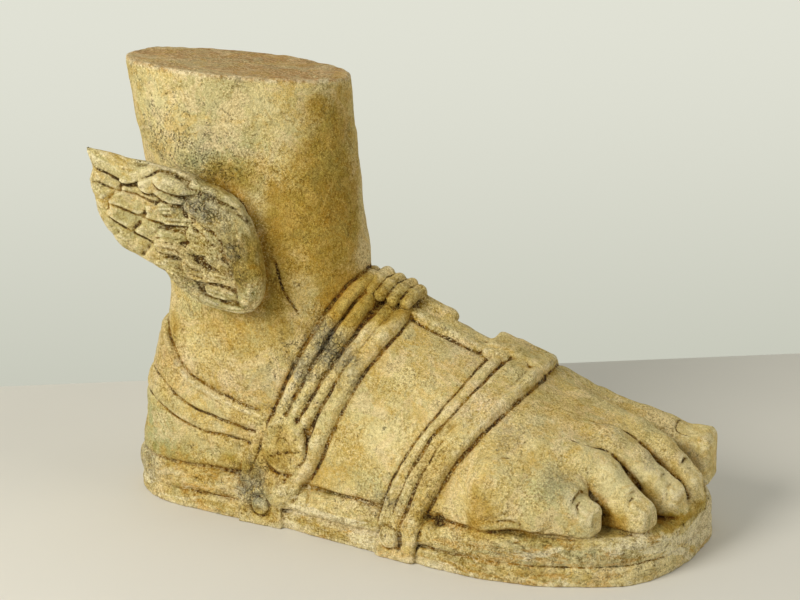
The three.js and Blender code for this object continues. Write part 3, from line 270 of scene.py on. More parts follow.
def trim(G):
    sl,(X,Y,Z)=G.box(G.lo,(600,200,500))
    G.F=np.maximum(G.F,-Z)
    top=Z-(403-0.065*(X-118)-0.01*(Y-6))
    G.F=np.maximum(G.F,top.astype(f32))

# ---------- strap and cord centre lines on the outer side: (x, y, z) ----------
CORDS=dict(
 i1=dict(p=[(180,-68,94),(188,-66,112),(202,-62,142),(213,-53,169),(227,-38,195),(237,-21,212),(243,6,221)],w=6.8,h=6.0),
 i2=dict(p=[(192,-70,94),(203,-68,116),(219,-61,147),(231,-49,170),(241,-34,189),(250,-14,205),(256,6,210)],w=7.6,h=6.5),
 i3=dict(p=[(204,-74,94),(216,-72,113),(228,-66,135),(243,-55,159),(256,-38,179),(266,-17,193),(270,6,199)],w=6.6,h=6.0),
 i4=dict(p=[(192,-82,36),(200,-80,46),(215,-78,64),(225,-76,88),(240,-69,126),(252,-58,150),(265,-43,171),(276,-22,187),(280,4,195)],w=8.4,h=7.0),
 f1=dict(p=[(300,-102,37),(302,-98,50),(312,-94,73),(329,-83,105),(346,-65,129),(359,-37,146),(366,-6,156),(369,4,158)],w=6.0,h=4.5),
 f2=dict(p=[(314,-106,37),(319,-101,58),(335,-93,87),(354,-77,115),(372,-49,136),(383,-12,149),(386,0,150)],w=11.5,h=6.0),
 f3=dict(p=[(327,-110,38),(331,-104,52),(345,-99,80),(360,-87,103),(376,-69,122),(390,-41,136),(400,-7,145),(402,4,145)],w=7.6,h=7.0),
)
# inner side: plainer repeats
CORDS_IN=dict(
 m1=dict(p=[(246,20,221),(243,38,208),(236,52,190),(224,62,165),(210,67,140),(196,69,112),(188,70,84)],w=8,h=5.5),
 m2=dict(p=[(262,22,206),(258,42,194),(250,56,175),(238,65,150),(224,69,122),(206,71,92),(194,72,66)],w=8,h=6),
 m3=dict(p=[(279,24,196),(276,46,184),(268,60,162),(254,69,134),(236,73,102),(214,75,72),(196,74,48)],w=8,h=6),
 m4=dict(p=[(368,40,157),(362,62,142),(352,76,118),(342,84,88),(334,87,60),(330,86,38)],w=7,h=5),
 m5=dict(p=[(384,42,150),(379,66,134),(370,82,110),(360,89,82),(352,92,56),(348,92,38)],w=10,h=6),
 m6=dict(p=[(400,44,142),(396,70,126),(388,88,102),(379,95,74),(372,97,50),(369,97,38)],w=7,h=6.5),
)
# cuts along lines on the skin: radius of the cutting edge, depth, places
CUTS=[
 (4.0,2.6,[(451,-85,88),(462,-86,84),(472,-84,77),(480,-80,69),(486,-76,59),(489,-72,46)]),   # between the last two toes
 (1.7,2.4,[(446,-53,114),(458,-53,110),(467,-49,107),(476,-42,103),(483,-39,98)]),
 (2.8,3.8,[(483,-39,99),(493,-38,88),(502,-38,78),(511,-40,67),(518,-42,55)]),
 (1.9,2.4,[(467,-14,115),(479,-10,113),(490,-6,107),(500,-5,99)]),
 (2.6,3.8,[(499,-5,100),(510,-3,89),(518,-3,80),(528,-4,70)]),
 (2.6,3.4,[(502,38,104),(516,38,93),(528,34,83),(541,26,76)]),
 (1.6,1.8,[(457,-19,118),(467,-17,116),(475,-12,114)]),
 (8.0,4.0,[(427,-92,98),(428,-103,87),(424,-110,74),(419,-114,63)]),                # hollow behind the little toe
 (2.4,2.8,[(387,-117,50),(398,-117,54),(408,-115,57),(418,-111,64),(427,-108,71)]),  # folds under its ball
 (2.2,3.0,[(397,-116,52),(407,-113,53),(418,-112,53),(424,-111,50)]),
 (1.8,2.4,[(424,-112,57),(424,-108,46)]),
 (1.8,2.4,[(407,-111,42),(423,-108,44),(442,-109,46),(448,-109,49),(452,-108,53)]),
 (1.4,1.6,[(382,-93,102),(396,-95,103),(406,-92,103),(417,-90,101)]),
 (1.7,2.8,[(474,-93,75),(472,-100,72),(474,-102,66),(481,-101,61)]),               # nails
 (1.7,2.8,[(513,-64,72),(507,-68,66),(510,-69,59),(516,-68,55)]),
 (1.6,2.2,[(534,-22,72),(530,-28,66),(532,-29,60),(538,-27,56)]),
 (1.6,2.4,[(545,50,89),(526,50,90),(517,56,90),(516,67,90),(524,74,90),(545,75,89)]),   # the big toe's nail
]
CUTS2=[   # cut last, across the straps as well
 (1.7,3.0,[(340,-77,119),(332,-87,103),(323,-94,87),(314,-102,66),(307,-104,55),(306,-107,44),(307,-110,36)]),
 (1.7,1.6,[(352,-84,115),(342,-91,103),(336,-96,90),(330,-101,77)]),
 (2.3,5.2,[(336,-96,90),(330,-101,77),(325,-104,62),(320,-107,49),(317,-110,40),(314,-111,28),(316,-111,18),(312,-111,9),(306,-110,4)]),
 (1.8,2.8,[(177,-65,113),(174,-67,101),(171,-71,89),(165,-71,75),(161,-71,61),(155,-71,49)]),
 (2.0,1.6,[(161,-71,61),(155,-72,49),(151,-75,39),(148,-77,23)]),
 (1.6,2.6,[(177,-66,254),(180,-63,247),(183,-61,234),(186,-59,220),(192,-55,207),(199,-51,194)]),   # crease over the ankle
 (1.4,2.4,[(196,-73,108),(206,-74,104),(212,-74,94),(215,-77,82),(214,-80,71),(208,-80,63),(196,-79,58),(183,-77,59),(174,-73,63)]),
 (1.5,2.0,[(174,-75,66),(182,-75,69),(189,-76,73)]),
 (1.4,1.9,[(199,-77,80),(199,-78,70),(199,-80,60)]),
 (1.4,1.7,[(191,-75,73),(204,-79,75),(213,-79,78)]),
]
LUMPS=[((541,-18,41),(9,10,7)),((548,-3,43),(8,10,9)),((550,12,43),(8,9,8))]
HEEL_TOP=[(14,170),(45,171),(60,166),(70,153),(82,137),(97,125),(117,116),(144,108),(180,101)]
HEEL_G1=[(14,126),(45,124),(66,116),(80,107),(97,99),(117,93),(143,88),(180,84)]
HEEL_G2=[(14,104),(47,101),(66,92),(79,86),(102,79),(138,75),(180,71)]

KNOT=[((250,-9,213),(256,18,221)),((260,-10,209),(266,20,216)),((271,-9,205),(277,22,211)),((282,-6,202),(287,20,206))]
ROSETTE=dict(c=(190,-74,79),rx=25.0,rz=27.5,h=8.0,n=7)
V_STRAP=(146.0,190.0)        # band over the edge of the sole
F_STRAP=(288.0,335.0)
RIVET=(168.5,18.5,8.2); BOSS=(304,20,9.6)

def catmull(P,step=5.0):
    P=np.array(P,float); n=len(P); out=[]
    for i in range(n-1):
        p0=P[max(i-1,0)];p1=P[i];p2=P[i+1];p3=P[min(i+2,n-1)]
        m1=(p2-p0)*.5; m2=(p3-p1)*.5
        k=max(1,int(round(np.linalg.norm(p2-p1)/step)))
        for j in range(k):
            s=j/k
            out.append((2*s**3-3*s**2+1)*p1+(s**3-2*s**2+s)*m1+(-2*s**3+3*s**2)*p2+(s**3-s**2)*m2)
    out.append(P[-1])
    return np.array(out)
def trilin(G,F,P):
    c=(P-G.lo)/G.h
    n=np.array(G.n); c=np.clip(c,0,n-1.001); i=c.astype(int); f=c-i
    r=0
    for dx in (0,1):
        for dy in (0,1):
            for dz in (0,1):
                w=(f[:,0] if dx else 1-f[:,0])*(f[:,1] if dy else 1-f[:,1])*(f[:,2] if dz else 1-f[:,2])
                r=r+w*F[i[:,0]+dx,i[:,1]+dy,i[:,2]+dz]
    return r
def grad(G,F,P,e=4.0):
    g=np.zeros_like(P)
    for i in range(3):
        o=np.zeros(3);o[i]=e
        g[:,i]=trilin(G,F,P+o)-trilin(G,F,P-o)
    return g/(np.linalg.norm(g,axis=1)[:,None]+1e-9)
def snap(G,F,P,times=8):
    for k in range(times):
        P=P-grad(G,F,P)*np.clip(trilin(G,F,P),-6,6)[:,None]*0.9
    return P
def cord(G,F0,H,D,pts,w,h,prof,gd=1.8,depth=13.0,snapit=True):
    """raise a band of half width w along pts; prof(s,t,arc) in 0..1"""
    C=catmull(pts,5.0)
    if snapit: C=snap(G,F0,C)
    N=grad(G,F0,C)
    d=C[1:]-C[:-1]; L=np.linalg.norm(d,axis=1); A=np.concatenate([[0],np.cumsum(L)]); tot=A[-1]
    m=max(w+5,depth)
    lo=C.min(0)-m; hi=C.max(0)+m
    sl,_=G.box(lo,hi)
    off=[s.start for s in sl]; shp=[s.stop-s.start for s in sl]
    best=np.full(shp,1e9,f32); S=np.zeros(shp,f32); T=np.zeros(shp,f32)
    for i in range(len(d)):
        if L[i]<1e-6: continue
        a=C[i]; t_=d[i]/L[i]
        s2,(X,Y,Z)=G.box(np.minimum(C[i],C[i+1])-m,np.maximum(C[i],C[i+1])+m)
        loc=tuple(slice(q.start-o,q.stop-o) for q,o in zip(s2,off))
        px,py,pz=X-a[0],Y-a[1],Z-a[2]
        u=np.clip((px*t_[0]+py*t_[1]+pz*t_[2])/L[i],0,1)
        n=N[i]*(1-0.5)+N[i+1]*0.5
        b=np.cross(t_,n); b/=np.linalg.norm(b)+1e-9; n=np.cross(b,t_)
        qx,qy,qz=px-u*d[i,0],py-u*d[i,1],pz-u*d[i,2]
        s=qx*b[0]+qy*b[1]+qz*b[2]; nn=qx*n[0]+qy*n[1]+qz*n[2]; al=qx*t_[0]+qy*t_[1]+qz*t_[2]
        q2=s*s+al*al+0.02*nn*nn
        ok=(q2<best[loc])&(np.abs(nn)<depth)
        # end caps: distance beyond the end counts as lateral
        e=np.sqrt(s*s+al*al)*np.where(s<0,-1,1)
        best[loc]=np.where(ok,q2,best[loc]); S[loc]=np.where(ok,e,S[loc]); T[loc]=np.where(ok,A[i]+u*L[i],T[loc])
    v=np.where(best<w*w,h*prof(S/w,T/tot,T),0).astype(f32)
    H[sl]=np.maximum(H[sl],v)
    g=gd*np.exp(-((np.sqrt(np.minimum(best,1e4))-w-0.9)/1.7)**2)
    D[sl]=np.maximum(D[sl],g.astype(f32))
def soft(A,n):
    """a light three-cell blur, so a step in the relief doesn't come out as teeth"""
    for _ in range(n):
        for ax in range(3):
            B=A.copy(); a=[slice(None)]*3; b=[slice(None)]*3; c=[slice(None)]*3
            a[ax]=slice(1,-1); b[ax]=slice(0,-2); c[ax]=slice(2,None)
            B[tuple(a)]=0.5*A[tuple(a)]+0.25*(A[tuple(b)]+A[tuple(c)]); A=B
    return A
def carve(G,F0,D,pts,w,depth,fade=0.3):
    """a cut along a line on the skin, w wide either way and depth deep, running out at both ends"""
    C=snap(G,F0,catmull(pts,5.0)); n=len(C); NN=grad(G,F0,C,2.5)
    dep=[depth*min(1.0,(i/(n-1)+0.05)/fade,(1-i/(n-1)+0.05)/fade) for i in range(n)]
    for i in range(n-1):
        a,b=C[i],C[i+1]; d=b-a; m=max(w*2.6,6.0)
        sl,(X,Y,Z)=G.box(np.minimum(a,b)-m,np.maximum(a,b)+m)
        t=np.clip(((X-a[0])*d[0]+(Y-a[1])*d[1]+(Z-a[2])*d[2])/float(d@d),0,1)
        qx,qy,qz=X-a[0]-t*d[0],Y-a[1]-t*d[1],Z-a[2]-t*d[2]; nn=qx*NN[i][0]+qy*NN[i][1]+qz*NN[i][2]
        q=qx**2+qy**2+qz**2-0.85*nn**2            # reaches further along the normal than sideways
        D[sl]=np.maximum(D[sl],((dep[i]+(dep[i+1]-dep[i])*t)*np.exp(-q/(w*w))).astype(f32))
def round_prof(s,t,a): return np.sqrt(np.maximum(0,1-s*s))
def band_prof(s,t,a): return np.minimum(1,(1-np.abs(s))*4.0)*(1-0.12*np.exp(-(s/0.12)**2)-0.10*np.exp(-((s-0.5)/0.10)**2))
def flat_prof(s,t,a): return np.minimum(1,(1-np.abs(s))*6.0)*sstep(0,0.12,t)
def two_prof(s,t,a): return np.sqrt(np.maximum(0,1-(np.abs(s)*2-1)**2))*0.35+0.65*np.minimum(1,(1-np.abs(s))*5)

# ---------- wing: plane coordinates x,z ----------
W_OUT=[(20,347),(53,340),(80,335),(103,330),(116,325),(126,318),(138,315),(154,305),(165,290),(173,268),(178,244),(179,226),(173,211),(162,203),(145,205),(126,210),(113,217),(104,223),(96,230),(91,237),(77,245),(65,252),(51,259),(40,271),(32,282),(28,292),(24,306),(22,318),(25,329)]
# lower borders of the leading strip and of the rows of long feathers
WING_ROWS=[[(21,334),(27,331),(38,327),(50,321),(61,316),(73,315),(93,307),(111,305)],
 [(22,317),(33,317),(51,311),(67,309),(79,303),(93,300),(111,299)],
 [(23,305),(39,300),(51,296),(72,288),(87,284),(105,278)],
 [(25,299),(35,290),(50,280),(65,273),(82,264),(97,259)]]
# feather tips cut as short slanting notches: x, z, x, z
WING_DASHES=[(26,331,21,321),(56,318,51,311),(47,309,39,301),(41,295,35,290),(78,295,72,289),(70,283,63,277),(48,273,40,269),(77,261,70,254)]
# small ruffled feathers: tail x, z, tip x, z, half width, height
WING_TUFTS=[(93,288,76,295,4.7,3.2),(111,292,87,297,5.6,3.8),(127,283,92,287,4.3,3.6),(94,268,71,279,6.5,2.8),(112,269,87,275,5.2,3.4),(133,267,114,277,6.5,4.6),(136,278,122,285,4.7,3.8),(118,255,84,264,6.9,4.2),(145,256,114,264,5.6,4.2),(143,262,133,279,4.3,3.4),(117,242,83,249,5.2,3.6),(135,233,109,249,7.7,4.8),(152,244,129,254,5.2,3.8),(120,228,92,238,6.5,4.6),(124,221,97,225,3.9,3.6),(159,229,128,240,5.2,4.0),(160,216,130,228,5.2,4.0),(144,212,113,220,4.7,4.0),(164,207,124,213,4.3,3.2),(130,295,112,298,5.2,3.6)]
WING_LEAVES=[(84,329,55,321,4.6,4.2),(96,322,72,317,7.6,5.2),(124,314,86,323,7.0,7.8),(112,304,85,310,4.2,3.6)]
W_ARM=[(123,298,12.0),(143,289,14.5),(157,273,15.5),(164,254,15.5),(168,236,13.8),(167,221,12.0)]
WING_LIP=[(119,320),(132,316),(144,311),(156,302)]
def wing_y(X): return -110+0.12*X
def seg_dist2(x,z,P):
    """distance to a polyline with radius, as fraction of the radius, plus radius there"""
    best=np.full(np.broadcast(x,z).shape,1e9); rad=np.zeros_like(best)
    for i in range(len(P)-1):
        ax,az,ar=P[i]; bx,bz,br=P[i+1]
        dx,dz=bx-ax,bz-az
        t=np.clip(((x-ax)*dx+(z-az)*dz)/(dx*dx+dz*dz),0,1)
        r=ar+(br-ar)*t
        d=np.sqrt((x-ax-t*dx)**2+(z-az-t*dz)**2)/r
        m=d<best
        best=np.where(m,d,best); rad=np.where(m,r,rad)
    return best,rad
def tuft(x,z,T,i,strands=3):
    """a feather lying on the others: highest near its rounded tip, with strands along it"""
    ax,az,bx,bz,w,h=T
    L=np.hypot(bx-ax,bz-az); ex,ez=(bx-ax)/L,(bz-az)/L
    cx,cz=(ax+bx)/2,(az+bz)/2
    s=((x-cx)*ex+(z-cz)*ez)/(L/2+2.0)
    t=(-(x-cx)*ez+(z-cz)*ex)
    t=(t+1.6*np.sin(2.2*s+i))/(w*(1+0.18*s))
    e=np.maximum(np.abs(s)**2.6+t*t,0)
    m=np.sqrt(np.maximum(0,1-e))
    mound=h*np.minimum(1,m*1.35)*(0.72+0.36*s)
    if strands:
        f=(t+0.22*np.sin(3.0*s+2*i))*strands/2.0+0.5*(strands%2==0)
        cutline=np.abs(f-np.round(f))*2          # 0 on a strand's middle, 1 between two
        mound=mound-2.8*sstep(0.50,1.0,cutline)*(m>0)*sstep(1.0,0.70,e)
    return np.where(e<1,mound+0.6,-9)
def wing_relief(x,z):
    zb=[np.interp(x,[p[0] for p in B],[p[1] for p in B]) for B in WING_ROWS]
    R=np.zeros_like(x)
    # long feathers, each row's lower edge over the next one
    for k in range(5):
        top=zb[k-1] if k else zb[0]+17
        bot=zb[k] if k<4 else zb[3]-24
        inside=(z<=top)&(z>bot)
        f=np.clip((top-z)/np.maximum(top-bot,1),0,1)
        if k==0: row=2.2+2.0*np.sin(np.pi*np.clip(f*1.15,0,1))**0.8-1.0*np.exp(-((f-0.34)/0.06)**2)*sstep(75,55,x)
        else: row=0.4+2.6*f**1.3
        R=np.where(inside,row,R)
    right=sstep(112,96,x)
    for k in range(4):
        d=np.abs(z-zb[k])*0.9
        R-=(3.2 if k==0 else 2.7)*np.exp(-(d/1.15)**2)*sstep(112,100,x)
    # notches at the tips, with the feather behind them a little raised
    row=np.zeros_like(x)
    for q in zb: row=row+(z<q)
    for i,(x1,z1,x2,z2) in enumerate(WING_DASHES):
        dx,dz=x2-x1,z2-z1; L=np.hypot(dx,dz); mx,mz=(x1+x2)/2,(z1+z2)/2
        t=np.clip(((x-x1)*dx+(z-z1)*dz)/(L*L),0,1)
        d=np.hypot(x-x1-t*dx,z-z1-t*dz)
        a=((x-mx)*0.92-(z-mz)*0.38)             # along the feather, from the notch to the root
        c=((x-mx)*0.38+(z-mz)*0.92)
        R+=2.1*np.exp(-np.maximum(a,0)/16)*sstep(0,3.0,a)*sstep(L*0.75+4,L*0.75-2,np.abs(c))
        R-=5.4*np.exp(-(d/1.75)**2)
    # fine barbs on the long feathers
    for q in zb[1:]:
        pass
    v=(336.5-0.256*x-z)/(11.6+0.065*x)
    R+=0.34*np.sin(6.28*(v*3.1+x*0.018))*sstep(100,80,x)*(z<zb[0])
    # ruffled small feathers and the leaf-shaped coverts
    T=np.full_like(x,-9.0)
    for i,t_ in enumerate(WING_TUFTS): T=np.maximum(T,tuft(x,z,(*t_[:4],t_[4]*1.08,t_[5]*1.45),i,3 if t_[4]>4.5 else 2))
    base=-3.2+1.9*np.sin(6.28*(z+0.42*x+2.5*np.sin(x*0.17))/6.0)
    zone=sstep(-5,5,x-(93+6*np.sin(z*0.2)))*(z<zb[1]+2)
    R=R*(1-zone)+base*zone
    R=np.where(T>-5,np.maximum(R*(T<R+0.0)+T*(T>=R),T*0+np.minimum(R,T)+np.maximum(T-R,0)),R)
    for i,t_ in enumerate(WING_LEAVES):
        q=tuft(x,z,t_,i+3,0)
        rim=tuft(x-1.5,z+3.2,(t_[0],t_[1],t_[2],t_[3],t_[4]*1.05,1.0),i+3,0)
        R=np.where((rim>-5)&(q<-5),R-2.6,R); R=np.where(q>-5,np.maximum(R-2.0,q+1.8),R)
    return R
def wing(G):
    sl,(X,Y,Z)=G.box((14,-135,196),(190,-55,352))
    x=X[:,0,0][:,None]; z=Z[0,0,:][None,:]
    PX,PZ=np.meshgrid(x.ravel(),z.ravel(),indexing='ij'); PX=PX.astype(float); PZ=PZ.astype(float)
    wsd=poly_sd(PX,PZ,np.array([p for p in catmull(W_OUT+[W_OUT[0]],6)])[:-1])
    R=0
    for ox in (-0.33,0,0.33):
        for oz in (-0.33,0,0.33): R=R+wing_relief(PX+ox*G.h,PZ+oz*G.h)/9
    R[1:-1,:]=0.84*R[1:-1,:]+0.08*(R[:-2,:]+R[2:,:]); R[:,1:-1]=0.84*R[:,1:-1]+0.08*(R[:,:-2]+R[:,2:])
    lip,_=seg_dist2(PX,PZ,[(a,b,4.0) for a,b in WING_LIP])
    R=R+(np.maximum(0,3.4*(1-lip**2))-R*0.6)*sstep(1.5,0.9,lip)-1.4*np.exp(-((lip-1.25)/0.3)**2)
    arm,rad=seg_dist2(PX,PZ,W_ARM)
    # the arm's inner side runs out among the small feathers, its outer side is a clean edge
    side=sstep(-4,8,(PX-np.interp(PZ,[p[1] for p in W_ARM[::-1]],[p[0] for p in W_ARM[::-1]]))+np.maximum(PZ-285,0)*1.4)
    Q=np.stack([PX.ravel(),0*PX.ravel(),PZ.ravel()],1); lump=(1.1*fbm(Q,11.0,201,3)+0.5*np.abs(fbm(Q,5.0,205,2))).reshape(PX.shape)
    outer=3.4+3.8*np.sqrt(np.maximum(0,1-arm**2.6))+lump*0.6; inner_=6.9*sstep(1.22,0.30,arm)+lump*1.3*sstep(1.2,0.8,arm)-2.2*np.clip(noise3(Q,6.0,219).reshape(PX.shape)-0.15,0,1)*sstep(1.15,0.7,arm)
    A=np.where(arm<1.25,inner_+(outer*(arm<1)-inner_)*side,0)
    R=np.maximum(A,R*(sstep(0.25,1.1,arm)*(1-side)+side*sstep(0.9,1.05,arm)))
    G.wing_map=(PX[:,0],PZ[0,:],R.copy())
    edge=np.clip(-wsd/8.0,0,1); R=R*(0.30+0.70*edge**0.7)
    for _ in range(2):       # only the steepest steps are eased, so they don't come out as teeth
        gx,gz=np.gradient(R,G.h); w_=sstep(1.7,3.0,np.hypot(gx,gz)); B=R.copy()
        B[1:-1,:]=0.5*R[1:-1,:]+0.25*(R[:-2,:]+R[2:,:]); B[:,1:-1]=0.5*B[:,1:-1]+0.25*(B[:,:-2]+B[:,2:])
        R=R*(1-w_)+B*w_
    th=10+6*sstep(60,130,PX)-3*(1-edge)
    yo=wing_y(PX)
    front=(yo-R+2.2*(1-edge))[:,None,:]-Y         # outside: y below the outer face
    back=Y-(yo+th)[:,None,:]
    inner=0.9*np.sin(6.28*((336.5-0.256*PX-PZ)/(11.6+0.065*PX)))*sstep(100,80,PX)
    back=back-inner[:,None,:]
    gx,gz=np.gradient(R,G.h); steep=np.sqrt(1+gx*gx+gz*gz)[:,None,:]
    W=smax(smax(front/steep,back,1.2),wsd[:,None,:].astype(f32),1.6)*0.9
    return sl,W

def build_foot(h):
    G=build_body(h)
    F0=G.F.copy(); H=np.zeros_like(G.F); D=np.zeros_like(G.F)
    for n,c in {**CORDS,**CORDS_IN}.items():
        prof=band_prof if n in('f2','m5') else round_prof
        cord(G,F0,H,D,c['p'],c['w'],c['h'],prof)
    # central strip of two tails from the knot to the plate
    cord(G,F0,H,D,[(270,6,200),(302,7,187),(325,9,176),(347,12,166),(368,18,158)],14,6,two_prof)
    # band from the rosette down to the sole
    cord(G,F0,H,D,[(186,-69,104),(180,-70,78),(173,-70,60),(168,-71,48),(167,-72,38)],24,4.2,flat_prof,0)
    cord(G,F0,H,D,[(204,-78,74),(197,-80,58),(189,-81,44),(186,-81,36)],15,4.6,flat_prof,0.6)
    cord(G,F0,H,D,[(196,70,84),(186,70,64),(180,70,50),(178,70,38)],22,4.0,band_prof)
    # heel bands
    sl,(X,Y,Z)=G.box((0,-80,60),(188,80,190))
    T=tab(HEEL_TOP,X);g1=tab(HEEL_G1,X);g2=tab(HEEL_G2,X)
    b=(Z-g1)/(T-g1); a=(Z-g2)/(g1-g2)
    hb=np.where((b>0)&(b<1),3.2*np.minimum(1,np.sqrt(np.maximum(b*(1-b),0))*3.2)+1.8*np.exp(-((b-0.88)/0.09)**2)-0.9*np.exp(-((b-0.68)/0.07)**2),0)
    hb=np.where((a>0)&(a<=1),3.6*np.sqrt(np.maximum(a*(1-a),0))*2.0,hb)
    hb=hb*(0.25+0.75*sstep(26,70,X))
    hd=1.5*np.exp(-((Z-g1)/1.7)**2)+1.9*np.exp(-((Z-g2)/1.8)**2)+2.6*np.exp(-((Z-T-1.2)/2.2)**2)*(0.15+0.85*sstep(105,60,X))
    near=np.abs(F0[sl])<16
    fade=sstep(186,172,X)*(1+0*Y)
    H[sl]=np.maximum(H[sl],(hb*fade*near).astype(f32))
    D[sl]=np.maximum(D[sl],(hd*fade*near*sstep(166,158,X)).astype(f32))
    # rosette
    c=ROSETTE; sl,(X,Y,Z)=G.box((155,-100,45),(225,-50,115))
    dx=(X-c['c'][0])/c['rx']; dz=(Z-c['c'][2])/c['rz']; r=np.sqrt(dx*dx+dz*dz); th=np.arctan2(dz,dx)
    pet=0.5+0.5*np.cos(c['n']*th)
    hr=np.where(r<1,c['h']*np.clip((1-r)*6,0,1)**0.6*(0.84+0.16*np.exp(-((r-0.86)/0.10)**2))-1.3*(1-pet)**4*np.exp(-((r-0.58)/0.26)**2)-1.8*np.exp(-((r-0.27)/0.07)**2)+0.9*np.exp(-(r/0.16)**2),0)
    D[sl]=np.maximum(D[sl],(4.6*np.exp(-((r-1.04)/0.07)**2)*(0.45+0.55*sstep(-0.75,-0.2,dx))*(np.abs(F0[sl])<16)*(Y<-50)).astype(f32))
    H[sl]=np.maximum(H[sl],(hr*(np.abs(F0[sl])<16)*(Y<-50)).astype(f32))
    idx=np.nonzero((H>0.05)|(D>0.05)); P_=np.stack([G.ax[q][idx[q]] for q in range(3)],1).astype(float)
    H[idx]*=(1+0.20*fbm(P_,30.0,201,2)+0.12*fbm(P_,9.0,207,2)).astype(f32)
    D[idx]*=np.clip(1.05+1.5*fbm(P_,17.0,211,3),0.15,1.6).astype(f32)
    H=soft(H,1); D=soft(D,1)*np.clip(1-H/9,0.25,1)
    G.F-=H
    for w_,d_,p_ in CUTS: carve(G,G.F,D,p_,w_,0.8*d_)
    G.F+=D
    del H,D
    for c_,r_ in LUMPS:
        fn,lo,hi=ellipsoid(c_,r_); G.union(fn,lo,hi,9)
    # knot: short rolls across the instep
    for k,(a,b) in enumerate(KNOT):
        m=((a[0]+b[0])/2,(a[1]+b[1])/2,(a[2]+b[2])/2+2.5)
        for p,q in ((a,m),(m,b)):
            fn,lo,hi=rcone(p,q,5.7,6.5); G.union(fn,lo,hi,0.6)
    # loop lying forward of the knot
    fn,lo,hi=rot_box((296,22,194),(20,9,6),24,5.5); G.union(fn,lo,hi,2.5)
    fn,lo,hi=ellipsoid((312,24,185),(10,10,8)); G.union(fn,lo,hi,2.5)
    # plate
    for c_,r_,a_,q in (((370,26,158),(17,20,9),17,5),((389,28,150),(20,21,9.5),22,5.5),((364,8,157),(12,11,8),17,4)):
        fn,lo,hi=rot_box(c_,r_,a_,q); G.union(fn,lo,hi,3)
    # straps over the edge of the sole
    P=sole_poly()
    PX,PY=np.meshgrid(G.ax[0],G.ax[1],indexing='ij')
    sd=poly_sd(PX,PY,P).astype(f32)[:,:,None]
    sl,(X,Y,Z)=G.box((-14,-170,-9),(576,150,60))
    def slab(x0,x1,out,ztop,slant=0,ylo=-1,ks=3):
        e=smax(x0+slant*Z/48-X,X-x1-0.015*slant*(Z-45),0.5)
        o=sd-out+0.55*smax(Z-36,0*Z,8)
        d=smax(smax(e,o,ks),Z-ztop,9)
        d=smax(d,-sd-16,2)
        return smax(d,(Y if ylo<0 else -Y)+0*X,1)
    sl,(X,Y,Z)=G.box((-14,-170,-9),(576,150,72))
    G.F[sl]=smin(G.F[sl],slab(*V_STRAP,3.6,64,0,-1,2),2)
    G.F[sl]=smin(G.F[sl],slab(*F_STRAP,4.2,64,9,-1,3),2)
    G.F[sl]=smin(G.F[sl],slab(156,200,3.8,54,0,1),2)
    G.F[sl]=smin(G.F[sl],slab(322,376,4.5,54,9,1),2)
    D=np.zeros_like(G.F)
    # rivet and boss on those bands, each in a ring
    for (x0,z0,r0),o,h_ in ((RIVET,3.2,3.4),(BOSS,3.8,3.6)):
        ii=int(round((x0-G.lo[0])/G.h)); row=sd[ii,:,0]; ys=G.ax[1]
        k=np.nonzero((row[:-1]>o)&(row[1:]<=o))[0][0]; y0=float(ys[k])
        sl,(X,Y,Z)=G.box((x0-20,y0-12,-6),(x0+20,y0+14,z0+20))
        q=np.sqrt((X-x0)**2+(Z-z0)**2)/r0
        cap=h_*np.sqrt(np.maximum(0,1-q**4))*(1-0.22*np.exp(-((q-0.62)/0.10)**2))
        G.F[sl]-=(cap*np.ones_like(Y)*(np.abs(G.F[sl])<9)).astype(f32)
        D[sl]=np.maximum(D[sl],(2.6*np.exp(-((q-1.16)/0.13)**2)*np.ones_like(Y)*(np.abs(G.F[sl])<12)).astype(f32))
    D=soft(D,1)
    for w_,d_,p_ in CUTS2: carve(G,G.F,D,p_,w_,d_)
    G.F+=D; del D
    fn,lo,hi=ellipsoid((350,-108,43),(8,6,6)); G.cut(fn,lo,hi,3)      # deep corner behind the front strap
    # wing and its root
    fn,lo,hi=rcone((142,-68,286),(152,-68,226),16,15); G.union(fn,lo,hi,12)
    fn,lo,hi=rcone((118,-62,300),(142,-68,286),12,16); G.union(fn,lo,hi,10)
    sl,W=wing(G); G.F[sl]=smin(G.F[sl],W.astype(f32),2)
    return G

# ---------- smooth noise, the same on every run ----------
def _hash(i,j,k,seed):
    n=(i.astype(np.int64)*73856093)^(j.astype(np.int64)*19349663)^(k.astype(np.int64)*83492791)^(seed*2654435761)
    n=(n^(n>>13))*1274126177
    n=n&0x7fffffff
    n=(n^(n>>15))*2246822519&0x7fffffff
    return (n&0xffff)/65535.0
def noise3(P,size,seed=0):
    """value noise in -1..1 at points P (n,3)"""
    q=P/size; i=np.floor(q).astype(np.int64); f=q-i
    f=f*f*f*(f*(f*6-15)+10)
    r=0
    for dx in (0,1):
        for dy in (0,1):
            for dz in (0,1):
                w=(f[:,0] if dx else 1-f[:,0])*(f[:,1] if dy else 1-f[:,1])*(f[:,2] if dz else 1-f[:,2])
                r=r+w*_hash(i[:,0]+dx,i[:,1]+dy,i[:,2]+dz,seed)
    return r*2-1
def fbm(P,size,seed,octaves=3,gain=0.5):
    r=0;a=1;t=0
    for o in range(octaves):
        r=r+a*noise3(P+17.3*o,size/(2.03**o),seed+o*7); t+=a; a*=gain
    return r/t
def near(G,width):
    """indices and places of the cells near the surface"""
    idx=np.nonzero(np.abs(G.F)<width)
    P=np.stack([G.ax[a][idx[a]] for a in range(3)],1).astype(float)
    return idx,P
